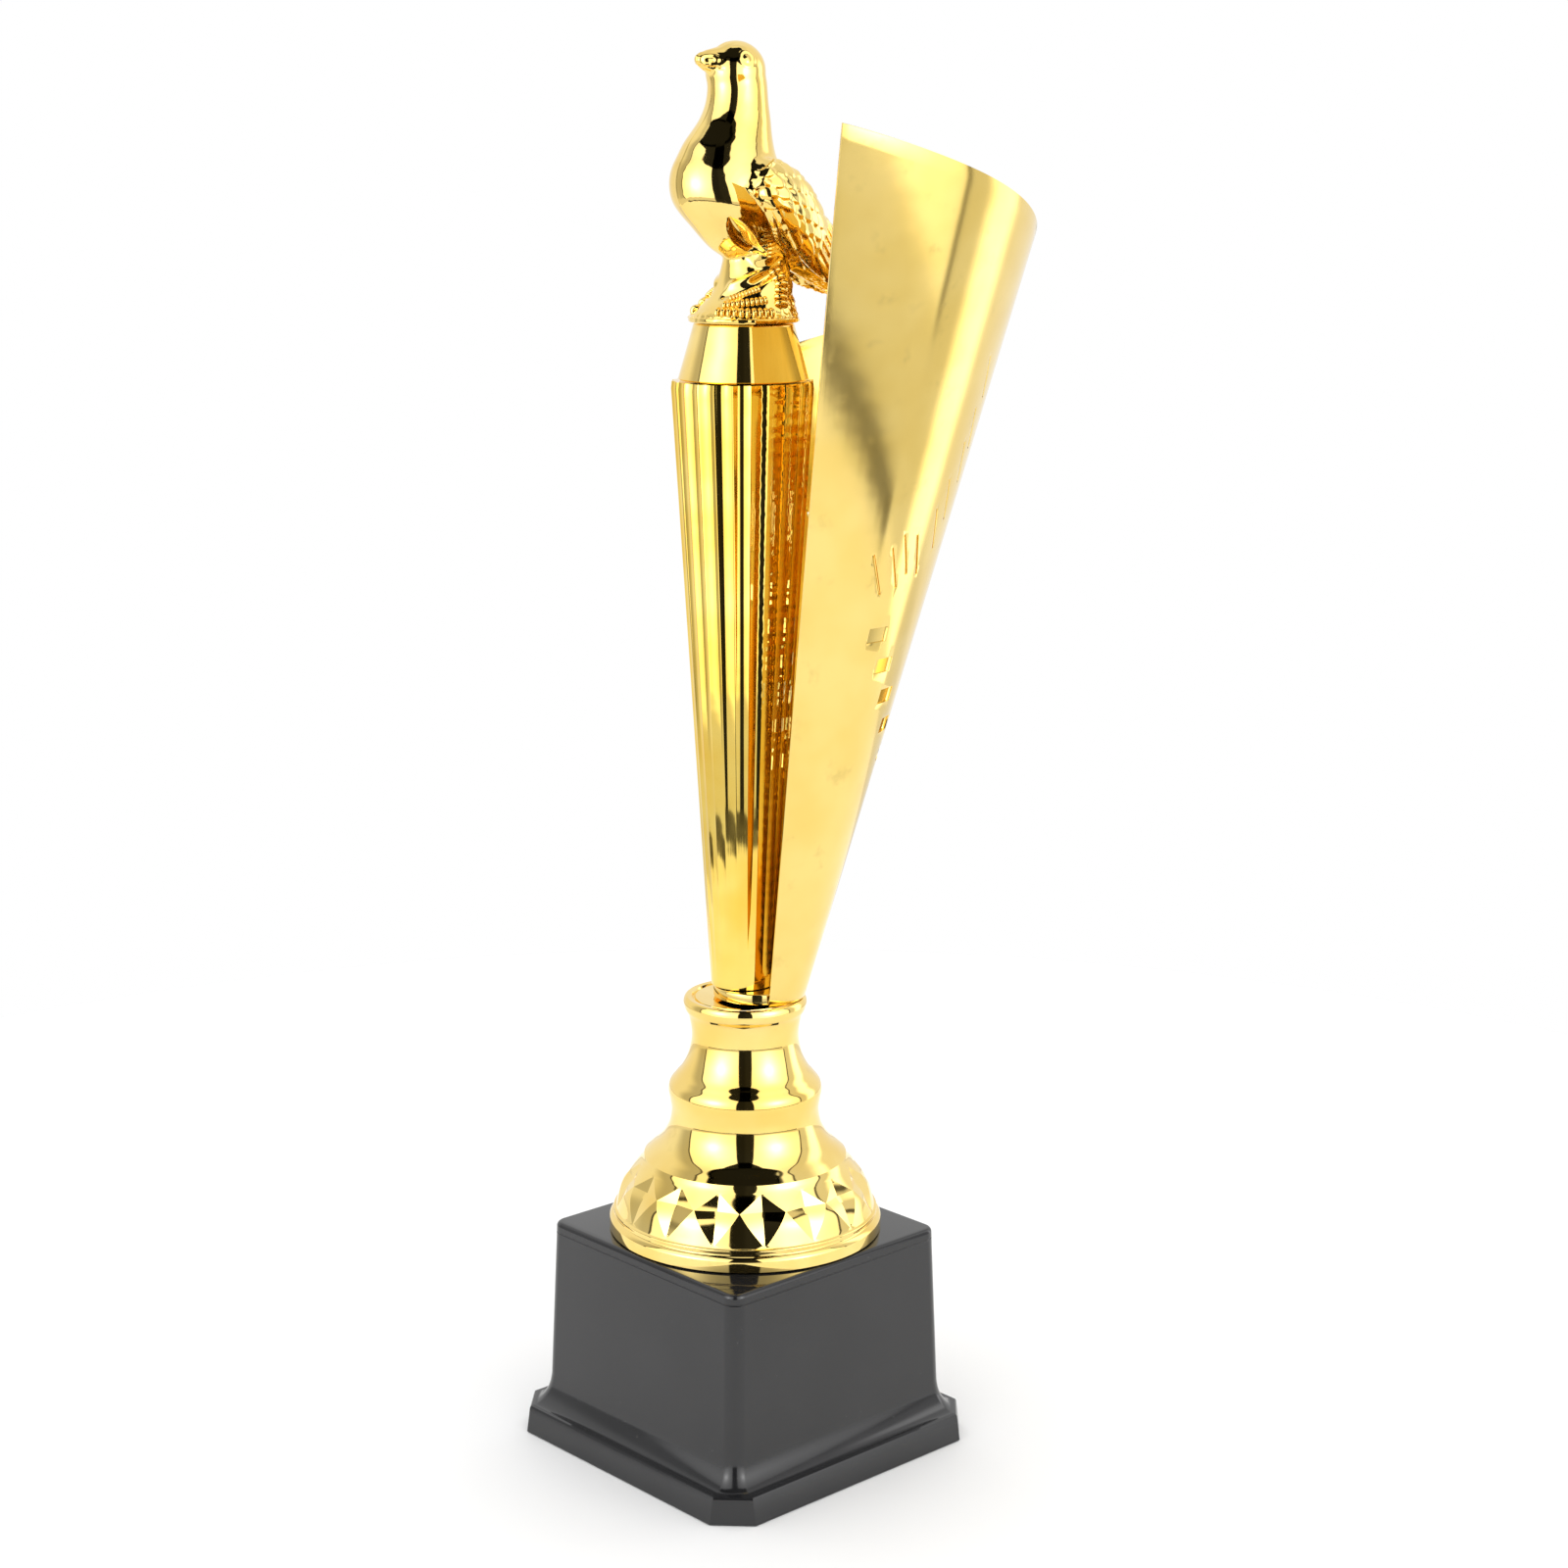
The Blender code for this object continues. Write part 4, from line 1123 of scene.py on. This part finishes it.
def cup_point(angle, height, outward=0.0):
    """Point on the cup's outside, by angle round from the viewing direction."""
    turn = angle + VIEW_SIDE
    reach = cup_radius(height) + outward
    return Vector((reach * math.cos(turn), reach * math.sin(turn), height))


def add_cutout(bm, spread, height, width, length, lean):
    """Add one box that pierces the cup, with its middle at an arc distance from the cup's middle."""
    angle = (CUP_NEAR_EDGE + CUP_FAR_EDGE) / 2 + spread / cup_radius(height)
    middle = cup_point(angle, height)
    outward = cup_point(angle, height, 1.0) - middle
    across = Vector((0.0, 0.0, 1.0)).cross(outward).normalized()
    upward = outward.cross(across).normalized()
    along = upward * math.cos(lean) + across * math.sin(lean)
    beside = across * math.cos(lean) - upward * math.sin(lean)
    turn = Matrix((beside, along, outward.normalized())).transposed().to_4x4()
    size = Matrix.Diagonal((width, length, 0.006, 1.0))
    bmesh.ops.create_cube(bm, size=1.0, matrix=Matrix.Translation(middle) @ turn @ size)


def build_cup(sizes, colours):
    """Rolled sheet cup with soft edges, a V of windows and two fans of slits."""
    columns = 132
    rows = 60
    grid = []
    bm = bmesh.new()
    for j in range(rows + 1):
        row = []
        for i in range(columns + 1):
            share = i / columns
            angle = CUP_NEAR_EDGE + (CUP_FAR_EDGE - CUP_NEAR_EDGE) * share
            height = cup_rim(angle) * j / rows
            corner = sizes.corner_flare * (j / rows) ** 6 * max(1 - share * 7, 0) ** 2
            row.append(bm.verts.new(cup_point(angle, height, corner)))
        grid.append(row)
    for low, high in zip(grid, grid[1:]):
        for i in range(columns):
            bm.faces.new((low[i], low[i + 1], high[i + 1], high[i]))
    cup = blank_object("cup_sheet", bm)
    cup.location = middle_of(COLLAR_LOW, COLLAR_HIGH)
    modified(cup, "SOLIDIFY", thickness=sizes.sheet, offset=-1.0, use_even_offset=True)
    windows = bmesh.new()
    for number in range(WINDOWS_EACH_SIDE):
        spread = WINDOW_FIRST_SPREAD - WINDOW_STEP * number
        height = WINDOW_FIRST_HEIGHT - WINDOW_DROP * number
        for side in (-1, 1):
            add_cutout(windows, side * spread, height, WINDOW_WIDTH, WINDOW_HEIGHT, 0.0)
    low_window = WINDOW_FIRST_HEIGHT - WINDOW_DROP * WINDOWS_EACH_SIDE
    add_cutout(windows, 0.0, low_window, WINDOW_WIDTH, WINDOW_HEIGHT, 0.0)
    slits = bmesh.new()
    for degrees, rise in SLIT_TIPS:
        tip = WINDOW_FIRST_HEIGHT + rise
        for side in (-1, 1):
            height = tip - SLIT_LENGTH / 2 * math.cos(SLIT_LEAN)
            arc = math.radians(degrees) * cup_radius(tip) - SLIT_LENGTH / 2 * math.sin(SLIT_LEAN)
            add_cutout(slits, side * arc, height, SLIT_WIDTH, SLIT_LENGTH, side * SLIT_LEAN)
    cutters = [blank_object("window_cutters", windows), blank_object("slit_cutters", slits)]
    for cutter in cutters:
        cutter.location = cup.location
        modified(cup, "BOOLEAN", operation="DIFFERENCE", solver="EXACT", object=cutter)
    modified(cup, "BEVEL", width=0.00018, segments=2, limit_method="ANGLE", angle_limit=math.radians(50))
    made = settled(cup, "rolled_cup")
    for cutter in cutters:
        bpy.data.objects.remove(cutter, do_unlink=True)
    smooth_shaded(made, 40)
    gold = gold_finish("cup_gold", colours.cup_light, colours.cup_deep, sizes.satin, 0.8, 0.05)
    placed(made, gold, "cup_gold", "cup")


def build_world(studio):
    """Even white light and a white backdrop."""
    world = bpy.data.worlds.new("soft_studio")
    bpy.context.scene.world = world
    world.use_nodes = True
    graph = Graph(world.node_tree)
    light = graph.node("ShaderNodeLightPath")
    camera = Term(graph, light.outputs["Is Camera Ray"])
    strength = camera * studio.backdrop + (1.0 - camera) * studio.dome
    glow = graph.term("ShaderNodeBackground", {}, {"Color": (1.0, 1.0, 1.0, 1.0), "Strength": strength})
    graph.node("ShaderNodeOutputWorld", {}, {"Surface": glow})


def shell_glow(graph, place, studio):
    """Brightness round the shell: two soft boxes, a dark gap and canopy at the viewer and dimmer sides."""
    x, y, z = graph.split(place)
    toward = (math.sin(VIEW_TURN), -math.cos(VIEW_TURN))
    level = (x * x + y * y) ** 0.5 + 0.0001
    facing = (x * toward[0] + y * toward[1]) / level
    aside = facing.joined("ARCCOSINE", facing, 0.0) * (180 / math.pi)
    lift = z - SHELL_HEIGHT
    rise = lift.joined("ARCTAN2", lift, level) * (180 / math.pi)
    right = ((x * toward[1] * -1.0 + y * toward[0]) / level).ramp(-0.05, 0.05)
    sides = studio.left_side + (studio.right_side - studio.left_side) * right
    sides = sides + (studio.ceiling - sides) * aside.ramp(98.0, 120.0)
    top = studio.box_top
    shine = sides + (studio.overhead_wall - sides) * rise.ramp(top - 1.0, top + 5.0)
    shine = shine + (studio.ceiling - shine) * rise.ramp(top + 10.0, 86.0)
    shine = shine + (studio.ground - shine) * (rise * -1.0).ramp(6.0, 9.0)
    stripe = aside.within(*STRIPE_SPAN, 5.0) * rise.within(-60.0, 40.0, 8.0) * right
    shine = shine + stripe * studio.stripe
    box = aside.within(studio.gap, studio.box_end, 0.8) * rise.within(BOX_FOOT, top, 0.8)
    frame_line = aside.within(studio.gap, studio.box_end + 2.5, 0.7) * rise.within(BOX_FOOT, top + 2.5, 0.7)
    away = (aside - BOX_HEART[0]) / BOX_HEART_SPREAD[0]
    above = (rise - BOX_HEART[1]) / BOX_HEART_SPREAD[1]
    hot = 1.0 / (1.0 + away ** 2.0 + above ** 2.0)
    shine = shine * (1.0 - frame_line * 0.88)
    shine = shine * (1.0 - box) + box * (studio.box_edge + hot * studio.box_heart)
    gap = (studio.gap - aside).ramp(-0.5, 0.5) * rise.within(GAP_FOOT, top, 1.0)
    spread = studio.gap + (rise - 52.0).ramp(0.0, 9.0) * 28.0 + (rise - 60.0).ramp(0.0, 5.0) * studio.canopy
    spread = spread * (1.0 - right * 0.20)
    canopy = (spread - aside).ramp(-2.0, 2.0) * rise.within(*CANOPY_SPAN, 2.0)
    return shine * (1.0 - gap * 0.97) * (1.0 - canopy * 0.985)


def seen_in_gloss_only(item):
    """Keep a stage object out of all but mirror reflections."""
    item.visible_camera = False
    item.visible_diffuse = False
    item.visible_shadow = False


def build_shell(studio):
    """Glowing shell round the table that only reflections see."""
    bm = bmesh.new()
    middle = Matrix.Translation((0.0, 0.0, SHELL_HEIGHT))
    bmesh.ops.create_icosphere(bm, subdivisions=5, radius=studio.shell_radius, matrix=middle)
    bmesh.ops.reverse_faces(bm, faces=bm.faces)
    shell = blank_object("studio_shell", bm)
    material, graph, place = surface_graph("shell_glow")
    shine = shell_glow(graph, place, studio)
    glow = graph.term("ShaderNodeCombineXYZ", {}, {0: shine, 1: shine, 2: shine})
    black = {"Base Color": (0.0, 0.0, 0.0, 1.0), "Roughness": 1.0, "Specular IOR Level": 0.0}
    shining = {**black, "Emission Color": glow, "Emission Strength": 1.0}
    shader = graph.term("ShaderNodeBsdfPrincipled", {}, shining)
    graph.node("ShaderNodeOutputMaterial", {}, {"Surface": shader})
    shell.data.materials.append(material)
    seen_in_gloss_only(shell)


def build_table_card(studio):
    """Dark card with a ragged edge, flat round the table's rim, that only reflections see."""
    bm = bmesh.new()
    outer = studio.floor_radius + CARD_PAST
    side_inner = outer - CARD_SIDE_DEPTH
    lift = Vector((0.0, 0.0, 0.001))
    for inner, start, end in ((CARD_FRONT_INNER, -32, 32), (side_inner, 32, 84), (side_inner, -84, -32)):
        row = []
        for degrees in range(start, end + 1, 4):
            angle = VIEW_SIDE + math.radians(degrees)
            along = Vector((math.cos(angle), math.sin(angle), 0.0))
            row.append((bm.verts.new(along * inner + lift), bm.verts.new(along * outer + lift)))
        for (a, b), (c, d) in zip(row, row[1:]):
            bm.faces.new((a, b, d, c))
    card = blank_object("table_card", bm)
    material, graph, place = surface_graph("matte_black_card")
    drift = graph.noise(place, 20.0, 3.0)
    x, y, _ = graph.split(place)
    inward = outer - (x * x + y * y) ** 0.5
    depth = graph.noise(place, 60.0, 4.0, 0.65) * CARD_RAGGED_DEPTH + CARD_LEAST_DEPTH
    tone = graph.mixed(drift, (0.02, 0.018, 0.015), (0.035, 0.03, 0.022))
    edge = (depth - inward).ramp(-0.004, 0.004)
    changing = {"Base Color": tone, "Roughness": 0.8 + drift * 0.1, "Alpha": edge}
    finish_surface(graph, {}, changing, drift, 0.02, 0.001)
    card.data.materials.append(material)
    seen_in_gloss_only(card)


def build_stage(studio, colours):
    """Pale floor, soft light and the photo's camera."""
    bm = bmesh.new()
    bmesh.ops.create_circle(bm, cap_ends=True, segments=96, radius=studio.floor_radius)
    floor = blank_object("studio_floor", bm)
    floor.data.materials.append(floor_finish(colours.floor))
    build_table_card(studio)
    build_shell(studio)
    build_world(studio)
    lamp = bpy.data.lights.new("overhead_softbox", "AREA")
    lamp.shape = "RECTANGLE"
    lamp.size = 1.2
    lamp.size_y = 0.9
    lamp.energy = studio.overhead
    overhead = in_scene("overhead_softbox", lamp)
    overhead.location = (0.1, 0.1, 1.5)
    overhead.visible_glossy = False
    camera = bpy.data.cameras.new("photo_view")
    camera.sensor_width = 36.0
    camera.lens = VIEW_LENS
    camera.shift_x = VIEW_SHIFT
    camera.clip_start = 0.01
    viewer = in_scene("photo_view", camera)
    viewer.location = (math.sin(VIEW_TURN) * VIEW_DISTANCE, -math.cos(VIEW_TURN) * VIEW_DISTANCE, VIEW_HEIGHT)
    viewer.rotation_euler = (math.pi / 2 - VIEW_PITCH, 0.0, VIEW_TURN)
    bpy.context.scene.camera = viewer
    bpy.context.scene.view_settings.view_transform = "Standard"


def length_value(name, default, description):
    """Length property in metres."""
    return bpy.props.FloatProperty(
        name=name, description=description, default=default, unit="LENGTH", precision=5, min=0.0
    )


def share_value(name, default, description, top=1.0):
    """Plain number property."""
    return bpy.props.FloatProperty(name=name, description=description, default=default, min=0.0, max=top)


def colour_value(name, default, description):
    """Colour property."""
    return bpy.props.FloatVectorProperty(
        name=name, description=description, default=default, subtype="COLOR", size=3, min=0.0, max=1.0
    )


class TrophySizes(bpy.types.PropertyGroup):
    """Sizes and counts of the finished surfaces."""

    plinth_rounding: length_value("Plinth rounding", 0.0013, "Radius of the plinth's top edge")
    flutes: bpy.props.IntProperty(name="Flutes", description="Flutes round the column", default=24, min=3)
    flute_depth: length_value("Flute depth", 0.0009, "Depth of a flute at the column's top")
    sheet: length_value("Sheet", 0.0009, "Thickness of the cup's sheet")
    corner_flare: length_value("Corner flare", 0.0014, "How far the cup's near top corner bends out")
    pigeon_grain: length_value("Pigeon grain", 0.00070, "Size of the cells that fuse the pigeon's masses")
    mirror: share_value("Mirror", 0.045, "Roughness of the bright gold")
    satin: share_value("Satin", 0.11, "Roughness of the cup's gold")


class TrophyColours(bpy.types.PropertyGroup):
    """Colours of the finishes."""

    gold_light: colour_value("Gold light", (1.0, 0.76, 0.27), "Pale side of the bright gold")
    gold_deep: colour_value("Gold deep", (0.95, 0.66, 0.17), "Warm side of the bright gold")
    column_light: colour_value("Column light", (0.97, 0.71, 0.17), "Pale side of the column's gold")
    column_deep: colour_value("Column deep", (0.92, 0.60, 0.09), "Warm side of the column's gold")
    cup_light: colour_value("Cup light", (0.95, 0.71, 0.23), "Pale side of the cup's gold")
    cup_deep: colour_value("Cup deep", (0.90, 0.65, 0.18), "Warm side of the cup's gold")
    plinth: colour_value("Plinth", (0.012, 0.012, 0.013), "Black of the plinth")
    dust: colour_value("Dust", (0.30, 0.29, 0.27), "Dust specks on the plinth")
    floor: colour_value("Floor", (0.86, 0.86, 0.86), "Pale floor")


class TrophyStudio(bpy.types.PropertyGroup):
    """Light of the studio."""

    dome: share_value("Dome", 1.22, "Strength of the even light on matte surfaces", 10.0)
    ceiling: share_value("Ceiling", 0.95, "Reflected strength overhead and behind", 10.0)
    left_side: share_value("Left side", 0.55, "Reflected strength at the left", 10.0)
    right_side: share_value("Right side", 0.80, "Reflected strength at the right", 10.0)
    overhead_wall: share_value("Overhead wall", 0.85, "Reflected strength just over the soft boxes", 10.0)
    canopy: share_value("Canopy", 50.0, "How far the dark canopy over the viewer widens, in degrees", 90.0)
    box_top: share_value("Box top", 63.0, "Where a soft box ends at its top, in degrees", 90.0)
    shell_radius: length_value("Shell radius", 0.75, "Distance of the soft boxes from the trophy")
    ground: share_value("Ground", 0.82, "Reflected strength below, past the floor", 10.0)
    box_edge: share_value("Box edge", 0.95, "Strength of a soft box at its edge", 10.0)
    box_heart: share_value("Box heart", 5.0, "Added strength at a soft box's middle", 10.0)
    box_end: share_value("Box end", 87.0, "Where a soft box ends, in degrees from the viewer", 180.0)
    stripe: share_value("Stripe", 1.3, "Added strength of the strip light on the right", 10.0)
    gap: share_value("Gap", 13.0, "Half width of the dark gap, in degrees", 90.0)
    backdrop: share_value("Backdrop", 1.0, "Strength of the backdrop that the camera sees", 10.0)
    overhead: share_value("Overhead", 2.0, "Power of the lamp overhead, in watts", 100.0)
    floor_radius: length_value("Floor radius", 0.50, "Radius of the white table under the trophy")


def choices(context):
    """The scene's sizes and colours."""
    return context.scene.trophy_sizes, context.scene.trophy_colours


class TROPHY_OT_plinth(bpy.types.Operator):
    """Build the moulded black plinth"""

    bl_idname = "trophy.plinth"
    bl_label = "Plinth"

    def execute(self, context):
        build_plinth(*choices(context))
        return {"FINISHED"}


class TROPHY_OT_riser(bpy.types.Operator):
    """Build the turned riser with its band of diamond dents"""

    bl_idname = "trophy.riser"
    bl_label = "Riser"

    def execute(self, context):
        build_riser(*choices(context))
        return {"FINISHED"}


class TROPHY_OT_column(bpy.types.Operator):
    """Build the collar, the fluted column and its cone cap"""

    bl_idname = "trophy.column"
    bl_label = "Column, collar and cap"

    def execute(self, context):
        build_collar(*choices(context))
        build_column(*choices(context))
        build_cap(*choices(context))
        return {"FINISHED"}


class TROPHY_OT_pigeon(bpy.types.Operator):
    """Build the pigeon with its rock, disc and ribbed legs"""

    bl_idname = "trophy.pigeon"
    bl_label = "Pigeon"

    def execute(self, context):
        build_pigeon(*choices(context))
        return {"FINISHED"}


class TROPHY_OT_cup(bpy.types.Operator):
    """Build the rolled and pierced cup"""

    bl_idname = "trophy.cup"
    bl_label = "Cup"

    def execute(self, context):
        build_cup(*choices(context))
        return {"FINISHED"}


class TROPHY_OT_stage(bpy.types.Operator):
    """Build the floor, the light and the camera"""

    bl_idname = "trophy.stage"
    bl_label = "Stage"

    def execute(self, context):
        build_stage(context.scene.trophy_studio, context.scene.trophy_colours)
        return {"FINISHED"}


OPERATORS = (
    TROPHY_OT_plinth,
    TROPHY_OT_riser,
    TROPHY_OT_column,
    TROPHY_OT_pigeon,
    TROPHY_OT_cup,
    TROPHY_OT_stage,
)


class TROPHY_PT_panel(bpy.types.Panel):
    """Sidebar panel with the sizes, colours and building steps"""

    bl_idname = "TROPHY_PT_panel"
    bl_label = "Pigeon trophy cup"
    bl_space_type = "VIEW_3D"
    bl_region_type = "UI"
    bl_category = "Trophy"

    def draw(self, context):
        for group in (*choices(context), context.scene.trophy_studio):
            box = self.layout.box()
            for name in group.__annotations__:
                box.prop(group, name)
        for operator in OPERATORS:
            self.layout.operator(operator.bl_idname)


CLASSES = (TrophySizes, TrophyColours, TrophyStudio, *OPERATORS, TROPHY_PT_panel)


def register():
    """Register the classes and hang the settings on the scene."""
    for item in CLASSES:
        bpy.utils.register_class(item)
    bpy.types.Scene.trophy_sizes = bpy.props.PointerProperty(type=TrophySizes)
    bpy.types.Scene.trophy_colours = bpy.props.PointerProperty(type=TrophyColours)
    bpy.types.Scene.trophy_studio = bpy.props.PointerProperty(type=TrophyStudio)


def unregister():
    """Take the settings and classes away again."""
    del bpy.types.Scene.trophy_studio
    del bpy.types.Scene.trophy_colours
    del bpy.types.Scene.trophy_sizes
    for item in reversed(CLASSES):
        bpy.utils.unregister_class(item)


def main():
    """Register and run every step in order."""
    register()
    bpy.ops.trophy.plinth()
    bpy.ops.trophy.riser()
    bpy.ops.trophy.column()
    bpy.ops.trophy.pigeon()
    bpy.ops.trophy.cup()
    bpy.ops.trophy.stage()


if __name__ == "__main__":
    main()
